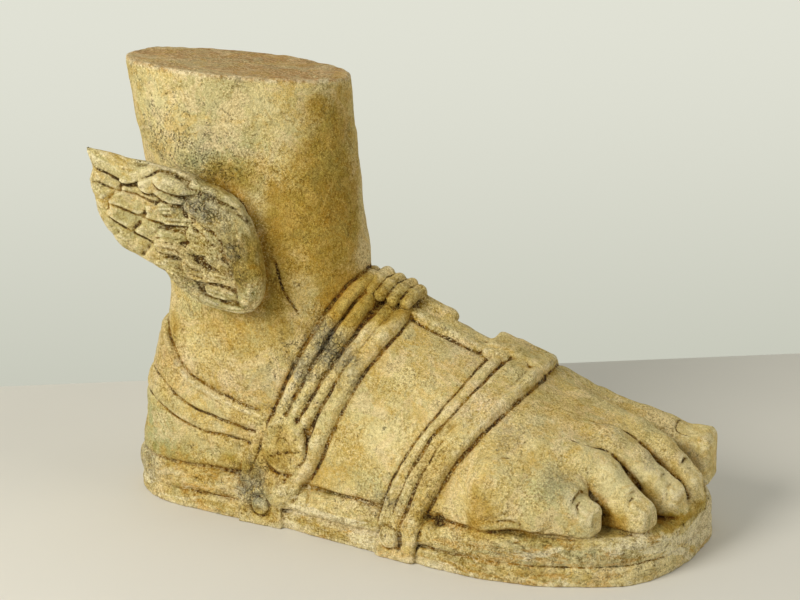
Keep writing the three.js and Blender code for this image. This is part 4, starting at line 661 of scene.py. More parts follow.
def weather(G):
    """hand-cut unevenness, worn edges, tool and erosion marks"""
    idx,P=near(G,6.0)
    n1=fbm(P,46.0,3,2); n2=fbm(P,15.0,11,3); n3=noise3(P,5.2,23)
    seen=np.clip((70-P[:,1])/50,0.25,1); seen=np.where(P[:,0]>440,1,seen)      # the inner side is plainer
    rough=np.clip(0.75+1.1*fbm(P,70.0,5,2),0.35,1.4)
    d=1.5*n1+1.05*n2*rough+seen*rough*0.38*n3
    # sole and the broken-looking top are rougher
    low=np.clip((44-P[:,2])/6,0,1); top=np.clip((P[:,2]-396)/12,0,1)
    d+=low*(1.5*fbm(P*[1,1,1.7],20.0,31,3)+seen*0.45*noise3(P*[1,1,1.5],7.0,37))+top*0.8*fbm(P,12.0,41,3)
    # erosion pits
    pit=seen*np.clip(noise3(P,6.5,57)-0.52,0,1)*2.0*np.clip(0.5+fbm(P,60.0,61,2),0,1)
    d-=1.8*pit
    G.F[idx]-=(d*np.clip(1-np.abs(G.F[idx])/6,0,1)).astype(f32)
def cut_planes(G):
    X,Y,Z=G.ax[0].reshape(-1,1,1),G.ax[1].reshape(1,-1,1),G.ax[2].reshape(1,1,-1)
    top=(Z-(408.5-0.058*(X-118)-0.07*(Y-6)))+0*X
    # rough, shallow hollows on the sawn top
    k0=int((380-G.lo[2])/G.h)
    PX,PY=np.meshgrid(G.ax[0],G.ax[1],indexing='ij')
    P=np.stack([PX.ravel(),PY.ravel(),0*PX.ravel()],1).astype(float)
    rough=(1.1*fbm(P,34.0,71,3)+0.7*fbm(P,8.0,75,2)).reshape(PX.shape)[:,:,None].astype(f32)
    G.F[:,:,k0:]=smax(G.F[:,:,k0:],(top[:,:,k0:]+rough).astype(f32),3.5)
    k1=int((8-G.lo[2])/G.h)
    G.F[:,:,:k1]=smax(G.F[:,:,:k1],(-Z[:,:,:k1]+0*X).astype(f32),1.2)

def wobble(V,sign=1.0):
    """hand-cut lines are never quite straight: the skin shifted a little along itself, not at the two flat cuts"""
    k=np.clip(V[:,2]/14,0,1)*np.clip((404-V[:,2])/10,0,1)
    W=np.stack([fbm(V,19.0,s,2) for s in (131,137,149)],1)*1.2*sign
    return V+W*k[:,None]
def surface_nets(G):
    F=G.F; lo=G.lo; h=G.h
    S=F<0
    c=np.zeros(tuple(n-1 for n in F.shape),np.int8)
    for dx in (0,1):
        for dy in (0,1):
            for dz in (0,1):
                c+=S[dx:F.shape[0]-1+dx,dy:F.shape[1]-1+dy,dz:F.shape[2]-1+dz]
    act=(c>0)&(c<8)
    I,J,K=np.nonzero(act)
    cid=np.full(act.shape,-1,np.int32); cid[act]=np.arange(len(I),dtype=np.int32)
    acc=np.zeros((len(I),3)); cnt=np.zeros(len(I))
    corner=[(a,b,d) for a in (0,1) for b in (0,1) for d in (0,1)]
    val={q:F[I+q[0],J+q[1],K+q[2]] for q in corner}
    for q in corner:
        for a in range(3):
            if q[a]==0:
                r=list(q); r[a]=1; r=tuple(r)
                fa,fb=val[q],val[r]; m=(fa<0)!=(fb<0)
                t=np.where(m,fa/(fa-fb+1e-12),0)
                for b in range(3):
                    acc[:,b]+=np.where(m,q[b]+(t if b==a else 0),0)
                cnt+=m
    V=acc/cnt[:,None]+np.stack([I,J,K],1)
    V=V*h+lo
    Q=[]
    for a in range(3):
        b,d=(a+1)%3,(a+2)%3
        s0=[slice(None)]*3; s1=[slice(None)]*3
        s0[a]=slice(0,-1); s1[a]=slice(1,None)
        for ax in (b,d): s0[ax]=slice(1,-1); s1[ax]=slice(1,-1)
        A=S[tuple(s0)]; B=S[tuple(s1)]
        e=np.nonzero(A!=B); base=[e[0].copy(),e[1].copy(),e[2].copy()]
        for ax in (b,d): base[ax]=base[ax]+1
        def cell(ob,od):
            g=[base[0].copy(),base[1].copy(),base[2].copy()]
            g[b]=g[b]-ob; g[d]=g[d]-od
            return cid[g[0],g[1],g[2]]
        q=np.stack([cell(1,1),cell(0,1),cell(0,0),cell(1,0)],1)
        flip=~A[e]
        q[flip]=q[flip][:,::-1]
        Q.append(q)
    return V,np.concatenate(Q)

def shrink(A,k):
    """mean over k x k x k cells"""
    n=[s//k*k for s in A.shape]
    return A[:n[0],:n[1],:n[2]].reshape(n[0]//k,k,n[1]//k,k,n[2]//k,k).mean(axis=(1,3,5),dtype=np.float32)
def sample(A,lo,h,P):
    c=np.clip((P-lo)/h,0,np.array(A.shape)-1.001); i=c.astype(int); f=c-i; r=0
    for dx in (0,1):
        for dy in (0,1):
            for dz in (0,1):
                w=(f[:,0] if dx else 1-f[:,0])*(f[:,1] if dy else 1-f[:,1])*(f[:,2] if dz else 1-f[:,2])
                r=r+w*A[i[:,0]+dx,i[:,1]+dy,i[:,2]+dz]
    return r
def concavity(G,P):
    """share of stone round each point of the skin, less a half, at about 1.6, 5 and 15 mm: above 0 in hollows"""
    B=np.clip(0.5-G.F/G.h,0,1).astype(f32)
    B=np.pad(B,12); lo=G.lo-12*G.h; out=[]
    A=soft(B,3); out.append(sample(A,lo,G.h,P)-0.5)
    A=soft(shrink(B,2),7); out.append(sample(A,lo+G.h*0.5,G.h*2,P)-0.5)
    A=soft(shrink(B,4),14); out.append(sample(A,lo+G.h*1.5,G.h*4,P)-0.5)
    return out

# ================================================================ the stone piece
ORIGIN = np.array([286.8, -7.0, 0.0])      # the carving's own coordinates to the frame's, mm
STEP = 1.35      # field step, mm
FACES = 196000

import copy
G = build_foot(STEP)
clean = copy.copy(G); clean.F = G.F.copy(); cut_planes(clean)      # the carving before wear, for the dirt and painted shade in its hollows and on the wing's relief
weather(G)
cut_planes(G)
V, Q = surface_nets(G)
V = wobble(V)

me = bpy.data.meshes.new("winged_foot_stone")
me.vertices.add(len(V)); me.vertices.foreach_set("co", ((V - ORIGIN) / 1000.0).ravel().astype(np.float32))
me.loops.add(len(Q) * 4); me.loops.foreach_set("vertex_index", Q.ravel().astype(np.int32))
me.polygons.add(len(Q)); me.polygons.foreach_set("loop_start", (np.arange(len(Q)) * 4).astype(np.int32))
me.update(calc_edges=True); me.validate(verbose=False)
stone = bpy.data.objects.new("winged_foot_stone", me)
bpy.context.scene.collection.objects.link(stone)

# keep only the one body
import bmesh
def keep_largest(mesh):
    n = len(mesh.vertices); e = np.zeros(len(mesh.edges) * 2, np.int32); mesh.edges.foreach_get("vertices", e); e = e.reshape(-1, 2)
    lab = np.arange(n)
    while True:
        m = np.minimum(lab[e[:, 0]], lab[e[:, 1]]); old = lab.copy()
        np.minimum.at(lab, e[:, 0], m); np.minimum.at(lab, e[:, 1], m)
        lab = lab[lab]; lab = lab[lab]
        if (lab == old).all(): break
    ids, c = np.unique(lab, return_counts=True)
    if len(ids) > 1:
        big = ids[c.argmax()]; bm = bmesh.new(); bm.from_mesh(mesh); bm.verts.ensure_lookup_table()
        bmesh.ops.delete(bm, geom=[bm.verts[i] for i in np.nonzero(lab != big)[0]], context="VERTS")
        bm.to_mesh(mesh); bm.free()
keep_largest(me)
if len(me.polygons) * 2 > FACES:
    mod = stone.modifiers.new("thin", "DECIMATE"); mod.ratio = FACES / (len(me.polygons) * 2.0)
    deps = bpy.context.evaluated_depsgraph_get()
    new = bpy.data.meshes.new_from_object(stone.evaluated_get(deps))
    stone.modifiers.clear(); stone.data = new; new.name = "winged_foot_stone"; me = new
me.polygons.foreach_set("use_smooth", np.ones(len(me.polygons), bool))

# ---------- what the stone's colour follows: hollows and ridges, for dirt with painted shade and for paler ridges, and where stains and lichen lie ---
co = np.zeros(len(me.vertices) * 3, np.float32); me.vertices.foreach_get("co", co)
P = co.reshape(-1, 3).astype(float) * 1000.0 + ORIGIN
cav1, cav2, cav3 = concavity(clean, snap(clean, clean.F, wobble(P, -1.0), 3))
def blob(c, r, soft_=0.5, warp=0.0, seed=90):
    d = np.sqrt((((P - np.array(c)) / np.array(r)) ** 2).sum(1))
    if warp: d = d + warp * fbm(P, min(r) * 0.8, seed, 3)
    return 1 - sstep(1 - soft_, 1 + soft_, d)
def blobs(rows, seed):
    v = 0
    for i, (amt, c, r, s, w) in enumerate(rows): v = v + amt * blob(c, r, s, w, seed + 3 * i)
    return np.clip(v, 0, 1)
x, y, z = P.T
on_wing = sstep(-84, -94, y - 0.12 * x + 0.0 * z) * sstep(196, 206, z) * sstep(188, 180, x)
wx, wz, WR = clean.wing_map
def eased(A, n):
    for _ in range(n): A = 0.5 * A + 0.125 * (np.roll(A, 1, 0) + np.roll(A, -1, 0) + np.roll(A, 1, 1) + np.roll(A, -1, 1))
    return A
def on_map(A):
    U = wobble(P, -1.0); i = np.clip((U[:, 0] - wx[0]) / STEP, 0, A.shape[0] - 1.001); j = np.clip((U[:, 2] - wz[0]) / STEP, 0, A.shape[1] - 1.001)
    a, b = i.astype(int), j.astype(int); i, j = i - a, j - b
    return (A[a, b] * (1 - i) + A[a + 1, b] * i) * (1 - j) + (A[a, b + 1] * (1 - i) + A[a + 1, b + 1] * i) * j
# wing relief against its own local mean: below it painted shade in the grooves, above it painted highlight on the
# raised edges
g1, g2 = on_map(eased(WR, 5) - WR), on_map(eased(WR, 28) - WR)
face = on_wing * sstep(-100, -105, y - 0.12 * x)
wing_groove_shade = face * np.clip(sstep(0.22, 1.10, g1) + 0.75 * sstep(0.7, 2.4, g2), 0, 1)
wing_ridge_highlight = face * sstep(0.15, 0.80, -g1)
# ochre wash down the leg, behind the wing, round the knot and on the lower sole, and in the crevices of the toes, where
# it is painted shade as well as dirt
ochre = blobs([(0.80, (216, -40, 312), (24, 34, 70), 0.7, 0.5), (0.35, (232, -20, 360), (20, 40, 50), 0.8, 0.6), (0.8, (224, -28, 262), (28, 34, 40), 0.6, 0.5), (0.95, (184, -72, 262), (16, 26, 58), 0.6, 0.35),
    (0.75, (150, -78, 322), (34, 16, 20), 0.6, 0.5), (0.9, (238, -30, 207), (26, 40, 17), 0.6, 0.4), (0.8, (268, -14, 196), (26, 22, 12), 0.6, 0.4),
    (0.9, (501, -68, 44), (14, 14, 20), 0.5, 0.4), (1.0, (538, -44, 42), (28, 24, 6), 0.5, 0.5), (0.9, (545, 8, 43), (24, 40, 7), 0.5, 0.5), (0.8, (486, -74, 46), (12, 12, 22), 0.6, 0.5), (0.7, (516, -40, 60), (14, 8, 26), 0.6, 0.5), (0.7, (532, -4, 62), (12, 8, 26), 0.6, 0.5),
    (0.7, (392, -108, 60), (14, 20, 26), 0.5, 0.5), (0.65, (452, -100, 40), (70, 26, 6), 0.6, 0.5), (0.6, (440, -122, 10), (120, 18, 9), 0.7, 0.9),
    (0.5, (230, -90, 10), (60, 20, 9), 0.7, 0.9), (0.7, (95, -72, 46), (70, 30, 16), 0.6, 0.7), (0.6, (110, -72, 14), (80, 30, 8), 0.6, 0.9), (0.5, (60, -50, 140), (26, 30, 34), 0.6, 0.7), (0.45, (140, -75, 78), (40, 20, 26), 0.6, 0.8),
    (0.32, (176, -78, 70), (26, 20, 34), 0.6, 0.8), (0.5, (338, -92, 80), (26, 30, 50), 0.6, 0.8), (0.5, (150, -66, 180), (70, 40, 30), 0.6, 0.9), (0.5, (420, -20, 130), (60, 40, 14), 0.6, 0.9),
    (0.20, (226, -4, 330), (34, 80, 84), 0.6, 0.5), (0.6, (270, 8, 210), (36, 36, 16), 0.6, 0.4), (0.35, (375, 20, 158), (34, 34, 16), 0.6, 0.5), (0.22, (190, -78, 82), (30, 16, 32), 0.7, 0.7), (0.3, (240, -50, 150), (40, 40, 60), 0.7, 0.7),
    (0.75, (164, -108, 250), (18, 18, 50), 0.6, 0.5), (0.45, (120, -108, 250), (40, 20, 34), 0.6, 0.8), (0.45, (330, -100, 30), (60, 20, 14), 0.7, 0.9)], 300)
lichen = blobs([(1.0, (127, -112, 300), (22, 18, 13), 0.5, 0.6), (0.85, (150, -110, 274), (15, 16, 24), 0.6, 0.7), (0.7, (160, -108, 250), (12, 16, 20), 0.6, 0.7),
    (0.8, (222, -52, 172), (12, 24, 15), 0.6, 0.7), (0.7, (236, -48, 166), (13, 22, 12), 0.6, 0.7), (0.6, (206, -62, 150), (10, 18, 10), 0.6, 0.7), (0.7, (250, -52, 150), (8, 14, 16), 0.6, 0.7),
    (0.8, (158, -78, 40), (16, 14, 20), 0.6, 0.7), (0.22, (455, -92, 88), (18, 22, 14), 0.6, 0.6), (0.25, (404, -78, 118), (14, 22, 12), 0.6, 0.7), (0.3, (108, -85, 232), (22, 20, 26), 0.6, 0.7),
    (0.22, (500, -98, 26), (30, 20, 9), 0.6, 0.9), (0.22, (430, -122, 26), (40, 14, 8), 0.6, 0.9), (0.4, (300, -96, 48), (18, 14, 8), 0.6, 0.8), (0.5, (40, -40, 30), (26, 26, 14), 0.6, 0.8), (0.35, (520, -30, 96), (14, 14, 12), 0.6, 0.7)], 400)
pits = blobs([(0.52, (92, -66, 366), (64, 40, 50), 0.7, 0.6), (0.7, (122, -82, 330), (34, 24, 24), 0.6, 0.7), (0.6, (70, -60, 352), (16, 24, 24), 0.6, 0.6), (0.7, (222, -60, 160), (34, 40, 40), 0.7, 0.6), (0.7, (150, -80, 44), (34, 20, 24), 0.7, 0.5),
    (0.45, (480, -100, 30), (90, 40, 20), 0.7, 0.6), (0.5, (180, -80, 96), (34, 20, 20), 0.7, 0.6), (0.5, (330, -100, 60), (30, 20, 34), 0.7, 0.6), (0.4, (190, -62, 120), (20, 20, 30), 0.6, 0.6)], 500)
green = blobs([(0.9, (44, -50, 68), (34, 34, 30), 0.6, 0.5), (0.6, (455, -100, 74), (40, 26, 22), 0.6, 0.5), (0.7, (166, -104, 226), (12, 18, 20), 0.6, 0.4), (1.0, (168, -80, 18), (10, 14, 10), 0.25, 0.1),
    (0.5, (120, -70, 205), (50, 40, 24), 0.6, 0.6), (0.45, (250, -70, 120), (50, 40, 20), 0.7, 0.8), (0.5, (300, -90, 62), (50, 20, 12), 0.6, 0.7), (0.5, (512, -56, 84), (18, 16, 14), 0.6, 0.6), (0.5, (500, -98, 32), (60, 20, 8), 0.6, 0.8),
    (0.5, (104, -78, 300), (30, 30, 40), 0.7, 0.6), (0.5, (60, -60, 380), (26, 40, 30), 0.7, 0.7), (0.4, (150, -84, 350), (40, 30, 30), 0.7, 0.8), (0.4, (230, -50, 330), (30, 30, 40), 0.7, 0.8), (0.5, (80, -70, 54), (60, 20, 8), 0.6, 0.7)], 600) + 0.5 * on_wing
pink = blobs([(0.8, (372, -62, 128), (20, 26, 18), 0.6, 0.7), (0.7, (60, -44, 132), (30, 26, 26), 0.6, 0.7), (0.8, (145, -74, 84), (22, 16, 10), 0.6, 0.7), (0.6, (450, -30, 118), (34, 34, 14), 0.6, 0.8), (0.6, (148, -62, 132), (34, 20, 20), 0.6, 0.8),
    (0.6, (118, -76, 356), (26, 20, 14), 0.6, 0.8), (0.6, (345, 0, 160), (30, 26, 14), 0.6, 0.8), (0.5, (530, -20, 70), (24, 30, 16), 0.6, 0.8), (0.5, (70, -112, 318), (40, 14, 14), 0.6, 0.8), (0.4, (330, -96, 40), (24, 16, 10), 0.6, 0.8)], 700)
# dark: a darker olive tone on the wing, stains round the knot, plate and leg, and painted shadow on the leg beside the
# wing's arm
dark = np.clip(0.42 * on_wing + 0.45 * on_wing * blob((156, -112, 262), (18, 30, 50), 0.5, 0.5, 870) + blobs([(0.5, (268, 8, 206), (30, 30, 14), 0.6, 0.4), (0.5, (178, -76, 250), (22, 24, 60), 0.6, 0.3), (0.35, (232, -34, 300), (24, 40, 90), 0.7, 0.4), (0.25, (375, 20, 160), (34, 30, 14), 0.6, 0.4)], 800), 0, 1)
# pale: bleached and salt-whitened places, and painted highlight on the tops of the toes
pale = blobs([(1.0, (496, -58, 76), (38, 18, 26), 0.6, 0.5), (0.5, (430, -50, 108), (50, 40, 26), 0.7, 0.8), (0.8, (470, -90, 66), (22, 16, 18), 0.6, 0.6), (0.8, (524, -22, 68), (22, 14, 18), 0.6, 0.6), (0.7, (535, 10, 66), (22, 14, 18), 0.6, 0.6), (0.6, (538, 62, 80), (28, 26, 12), 0.6, 0.6),
    (0.9, (540, -70, 18), (50, 40, 18), 0.6, 0.9), (0.8, (470, -112, 12), (60, 16, 10), 0.6, 1.0), (0.7, (480, -112, 32), (50, 16, 8), 0.6, 1.0), (0.25, (120, -70, 24), (60, 16, 14), 0.7, 1.0), (0.4, (240, -88, 30), (30, 12, 8), 0.6, 0.8),
    (0.25, (60, -60, 366), (60, 60, 60), 0.7, 0.5), (0.6, (376, 18, 166), (26, 26, 12), 0.6, 0.6), (0.6, (520, -40, 84), (40, 30, 20), 0.6, 0.7), (0.5, (130, -76, 380), (60, 30, 30), 0.7, 0.8), (0.5, (210, -78, 140), (50, 30, 40), 0.7, 0.9), (0.5, (300, -84, 110), (40, 30, 40), 0.7, 0.8), (0.6, (70, -112, 326), (40, 14, 12), 0.6, 0.8)], 900)
worn = blobs([(1.0, (158, -112, 258), (20, 30, 54), 0.5, 0.4), (0.8, (120, -112, 258), (44, 30, 60), 0.6, 0.5), (0.8, (268, 6, 208), (26, 34, 18), 0.6, 0.4), (0.7, (230, -56, 160), (50, 34, 60), 0.6, 0.7),
    (0.7, (160, -80, 50), (60, 30, 40), 0.6, 0.8), (0.6, (60, -60, 110), (60, 40, 50), 0.6, 0.8), (0.6, (340, -80, 90), (40, 50, 50), 0.6, 0.8), (0.6, (368, 20, 160), (34, 34, 18), 0.6, 0.5), (0.5, (520, -60, 60), (60, 50, 40), 0.6, 0.7)], 950)
worn = np.clip(worn + sstep(46, 38, z) * 0.9, 0, 1) * np.clip((70 - y) / 50, 0.3, 1)
low = sstep(46, 40, z) * sstep(90, 60, y) * (1 - 0.75 * blob((171, -84, 26), (24, 24, 26), 0.25)) * (1 - 0.55 * blob((316, -112, 26), (28, 24, 26), 0.25))
low = low * (1 - 0.45 * sstep(300, 60, x) * sstep(20, 28, z))
sawn = sstep(-4.0, -1.5, z - (408.5 - 0.058 * (x - 118) - 0.07 * (y - 6)))
for name, vals in (("cav1", cav1), ("cav2", cav2), ("cav3", cav3), ("ochre", ochre), ("lichen", lichen), ("pits", pits), ("green", np.clip(green, 0, 1)), ("pink", pink), ("dark", dark), ("sawn", sawn), ("wing_groove_shade", wing_groove_shade), ("wing_ridge_highlight", wing_ridge_highlight), ("worn", worn), ("pale", pale), ("low", low)):
    a = me.attributes.new(name, "FLOAT", "POINT"); a.data.foreach_set("value", vals.astype(np.float32))

# ---------- stone material ----------
def stone_material():
    m = bpy.data.materials.new("sandstone"); m.use_nodes = True
    nt = m.node_tree; nt.nodes.clear()
    def nd(t, **kw):
        n = nt.nodes.new(t)
        for k, v in kw.items():
            if k.startswith("i_"): n.inputs[k[2:].replace("_", " ")].default_value = v
            else: setattr(n, k, v)
        return n
    ln = nt.links.new
    out = nd("ShaderNodeOutputMaterial"); bs = nd("ShaderNodeBsdfPrincipled"); ln(bs.outputs[0], out.inputs[0])
    tc = nd("ShaderNodeTexCoord")
    def noise(scale, detail=4, rough=0.6, dist=0.0, off=(0, 0, 0), sc=(1, 1, 1)):
        mp = nd("ShaderNodeMapping"); mp.inputs["Location"].default_value = off; mp.inputs["Scale"].default_value = sc
        ln(tc.outputs["Object"], mp.inputs["Vector"])
        n = nd("ShaderNodeTexNoise", i_Scale=scale, i_Detail=detail, i_Roughness=rough, i_Distortion=dist); ln(mp.outputs[0], n.inputs["Vector"])
        return n.outputs["Fac"]
    def attr(name):
        return nd("ShaderNodeAttribute", attribute_name=name).outputs["Fac"]
    def math_(op, a, b=None, c=None, clamp=False):
        n = nd("ShaderNodeMath", operation=op, use_clamp=clamp)
        for i, v in enumerate((a, b, c)):
            if v is None: continue
            if isinstance(v, (int, float)): n.inputs[i].default_value = v
            else: ln(v, n.inputs[i])
        return n.outputs[0]
    def ramp(v, lo, hi):
        n = nd("ShaderNodeMapRange", interpolation_type="SMOOTHSTEP"); n.clamp = True
        n.inputs["From Min"].default_value = lo; n.inputs["From Max"].default_value = hi; ln(v, n.inputs["Value"])
        return n.outputs[0]
    def mix(f, a, b, mode="MIX"):
        n = nd("ShaderNodeMix", data_type="RGBA", blend_type=mode)
        if isinstance(f, (int, float)): n.inputs[0].default_value = f
        else: ln(f, n.inputs[0])
        for v, i in ((a, 6), (b, 7)):
            if isinstance(v, tuple): n.inputs[i].default_value = (*v, 1)
            else: ln(v, n.inputs[i])
        return n.outputs[2]
    mul = lambda a, b: math_("MULTIPLY", a, b)
    add = lambda a, b: math_("ADD", a, b)
    sub = lambda a, b: math_("SUBTRACT", a, b)
    big = noise(9, 5, 0.6); mid = noise(34, 5, 0.65, 0.4, (3, 1, 7)); small = noise(120, 4, 0.7, 0, (5, 9, 2)); fine = noise(420, 3, 0.7, 0, (1, 4, 8)); grain = noise(1100, 2, 0.7, 0, (2, 2, 6))
    cav1, cav2, cav3 = attr("cav1"), attr("cav2"), attr("cav3")
    patchy = add(mul(mid, 0.55), mul(small, 0.45))
    col = mix(ramp(big, 0.36, 0.64), (0.615, 0.460, 0.155), (0.750, 0.590, 0.240))
    col = mix(ramp(mid, 0.42, 0.66), col, (0.790, 0.645, 0.290))
    col = mix(mul(ramp(noise(22, 5, 0.7, 0.6, (8, 2, 4)), 0.50, 0.68), 0.55), col, (0.500, 0.440, 0.170))      # olive
    col = mix(mul(ramp(noise(17, 5, 0.7, 0.5, (2, 7, 1)), 0.52, 0.70), 0.55), col, (0.620, 0.430, 0.135))      # warm
    col = mix(mul(ramp(noise(70, 5, 0.75, 0.8, (6, 6, 3)), 0.50, 0.64), 0.50), col, (0.440, 0.275, 0.055))     # ochre flecks
    col = mix(mul(ramp(small, 0.52, 0.66), 0.45), col, (0.850, 0.725, 0.390))                                   # pale crumbs
    col = mix(mul(attr("green"), ramp(patchy, 0.34, 0.58)), col, (0.430, 0.425, 0.185))
    col = mix(mul(attr("pink"), mul(ramp(patchy, 0.40, 0.60), 0.75)), col, (0.770, 0.590, 0.405))
    col = mix(mul(attr("sawn"), 0.8), col, mix(ramp(noise(260, 3, 0.7, 0, (3, 3, 1)), 0.35, 0.65), (0.300, 0.150, 0.045), (0.700, 0.450, 0.215)))
    col = mix(mul(attr("sawn"), mul(ramp(noise(90, 4, 0.7, 0.4, (4, 6, 4)), 0.48, 0.62), 0.5)), col, (0.600, 0.330, 0.110))
    # paler patches, with painted highlight on the tops of the toes
    col = mix(mul(attr("pale"), mul(ramp(patchy, 0.36, 0.56), 0.75)), col, (0.850, 0.725, 0.375))
    runs = noise(24, 6, 0.72, 0.6, (2, 2, 8), (1, 1, 0.35))
    oc = ramp(add(attr("ochre"), mul(sub(add(mul(patchy, 0.40), add(mul(fine, 0.28), mul(runs, 0.32))), 0.5), 1.5)), 0.16, 0.92)
    calm = sub(1.0, mul(attr("pale"), 0.5))
    # ochre stain, which in the toe crevices is also painted shade
    col = mix(mul(oc, 0.35), col, mix(ramp(noise(48, 4, 0.7, 0.5, (4, 8, 3)), 0.40, 0.60), (0.390, 0.275, 0.028), (0.545, 0.310, 0.058)))
    # darker olive on the wing, stains, and painted shadow on the leg beside the wing's arm
    col = mix(mul(mul(attr("dark"), ramp(add(mul(patchy, 0.7), mul(big, 0.3)), 0.25, 0.6)), 0.62), col, (0.235, 0.180, 0.065))
    # crisp-edged patches left by water and old lime
    col = mix(mul(ramp(noise(27, 7, 0.72, 0.9, (3, 5, 9)), 0.525, 0.560), 0.42), col, (0.560, 0.500, 0.255))
    col = mix(mul(ramp(noise(31, 7, 0.72, 0.9, (9, 2, 3)), 0.530, 0.565), 0.42), col, (0.850, 0.660, 0.360))
    col = mix(mul(ramp(noise(36, 7, 0.72, 0.9, (5, 5, 5)), 0.535, 0.570), 0.42), col, (0.640, 0.420, 0.105))
    # hollows painted darker, as dirt and as painted shade; ridges painted paler
    # broad ochre-brown in hollows: dirt together with painted shade
    wide = ramp(add(cav2, mul(cav3, 0.6)), 0.015, 0.20)
    col = mix(mul(wide, 0.64), col, mix(ramp(mid, 0.40, 0.62), (0.350, 0.205, 0.016), (0.530, 0.270, 0.040)))
    # near-black in narrow crevices: painted shade together with dirt
    tight = ramp(add(add(cav1, mul(cav2, 0.30)), mul(sub(fine, 0.5), 0.05)), 0.040, 0.125)
    crumbs = ramp(noise(64, 4, 0.75, 0.4, (2, 3, 9)), 0.40, 0.62)
    col = mix(mul(tight, sub(0.98, mul(crumbs, 0.36))), col, mix(crumbs, (0.085, 0.045, 0.008), (0.270, 0.145, 0.022)))
    # painted shade in the wing's grooves
    col = mix(mul(attr("wing_groove_shade"), 0.88), col, mix(crumbs, (0.070, 0.040, 0.009), (0.180, 0.115, 0.028)))
    # painted highlight on the wing's raised edges
    col = mix(mul(attr("wing_ridge_highlight"), mul(ramp(small, 0.34, 0.56), 0.60)), col, (0.800, 0.690, 0.330))
    li = mul(attr("lichen"), ramp(add(mul(small, 0.6), mul(fine, 0.4)), 0.40, 0.56))
    col = mix(mul(li, 0.85), col, mix(ramp(fine, 0.42, 0.60), (0.165, 0.155, 0.110), (0.500, 0.475, 0.345)))
    vc = nd("ShaderNodeTexVoronoi", feature="DISTANCE_TO_EDGE", i_Scale=210.0, i_Randomness=1.0); ln(tc.outputs["Object"], vc.inputs["Vector"])
    col = mix(mul(attr("lichen"), mul(sub(1.0, ramp(vc.outputs["Distance"], 0.04, 0.16)), 0.75)), col, (0.050, 0.042, 0.022))
    # ridges painted paler
    ridge_paling = mul(ramp(mul(add(cav1, mul(cav2, 0.4)), -1.0), 0.035, 0.14), ramp(small, 0.38, 0.58))
    col = mix(mul(ridge_paling, 0.55), col, (0.880, 0.770, 0.480))
    # dark pits
    def specks(scale, r0, r1, where, lo, hi):
        vo = nd("ShaderNodeTexVoronoi", i_Scale=scale, i_Randomness=1.0)
        mp = nd("ShaderNodeMix", data_type="VECTOR"); mp.inputs[0].default_value = 0.012
        nz = nd("ShaderNodeTexNoise", i_Scale=scale * 1.3, i_Detail=2.0); ln(tc.outputs["Object"], nz.inputs["Vector"])
        ln(tc.outputs["Object"], mp.inputs[4]); ln(nz.outputs["Color"], mp.inputs[5]); ln(mp.outputs[1], vo.inputs["Vector"])
        return mul(sub(1.0, ramp(vo.outputs["Distance"], r0, r1)), ramp(where, lo, hi))
    where1 = add(add(mul(noise(60, 4, 0.7, 0, (4, 4, 4)), 0.7), mul(small, 0.3)), mul(attr("pits"), 0.14))
    where2 = add(add(mul(noise(85, 4, 0.7, 0, (9, 3, 5)), 0.7), mul(fine, 0.3)), mul(attr("pits"), 0.12))
    pits_ = math_("MAXIMUM", specks(300.0, 0.12, 0.38, where1, 0.59, 0.66), mul(specks(420.0, 0.12, 0.40, where2, 0.57, 0.64), 0.9))
    col = mix(mul(pits_, 0.84), col, (0.095, 0.050, 0.008))
    # streaks along the two layers of the sole
    low = attr("low")
    streak = noise(21, 7, 0.72, 0.8, (1, 1, 9), (0.5, 0.5, 1.9)); streak2 = noise(24, 7, 0.72, 0.8, (7, 3, 3), (0.5, 0.5, 1.9)); streak3 = noise(18, 7, 0.72, 0.8, (3, 8, 1), (0.6, 0.6, 1.7))
    col = mix(mul(low, mul(ramp(streak, 0.515, 0.560), 0.46)), col, (0.390, 0.350, 0.150))
    col = mix(mul(low, mul(ramp(streak2, 0.525, 0.565), 0.52)), col, (0.610, 0.340, 0.075))
    col = mix(mul(low, mul(ramp(streak3, 0.490, 0.535), 0.76)), col, (0.880, 0.780, 0.500))
    crack = math_("ABSOLUTE", sub(noise(38, 4, 0.65, 0.6, (9, 4, 4), (0.4, 0.4, 2.2)), 0.5))
    col = mix(mul(attr("low"), mul(sub(1.0, ramp(crack, 0.002, 0.012)), mul(ramp(mid, 0.44, 0.56), 0.70))), col, (0.130, 0.075, 0.015))
    # mottling where the stone is worn most
    wo = attr("worn")
    col = mix(mul(wo, mul(ramp(noise(150, 4, 0.7, 0.4, (2, 6, 5)), 0.51, 0.62), 0.50)), col, (0.215, 0.150, 0.035))
    col = mix(mul(wo, mul(ramp(noise(165, 4, 0.7, 0.4, (8, 1, 6)), 0.52, 0.62), 0.50)), col, (0.880, 0.760, 0.400))
    # salt and pepper of the grain
    col = mix(mul(ramp(noise(230, 3, 0.7, 0.3, (1, 9, 3)), 0.52, 0.66), mul(calm, 0.24)), col, (0.300, 0.200, 0.045))
    col = mix(mul(ramp(noise(240, 3, 0.7, 0.3, (6, 3, 9)), 0.52, 0.66), 0.24), col, (0.900, 0.760, 0.390))
    grit = add(0.35, mul(ramp(noise(26, 4, 0.6, 0.3, (6, 1, 8)), 0.38, 0.62), 0.65))
    col = mix(mul(ramp(fine, 0.46, 0.62), mul(grit, mul(calm, 0.64))), col, (0.280, 0.190, 0.050))
    col = mix(mul(ramp(noise(600, 3, 0.7, 0, (7, 1, 3)), 0.50, 0.64), mul(grit, 0.60)), col, (0.920, 0.780, 0.410))
    col = mix(mul(ramp(grain, 0.46, 0.62), mul(calm, 0.42)), col, (0.230, 0.160, 0.055))
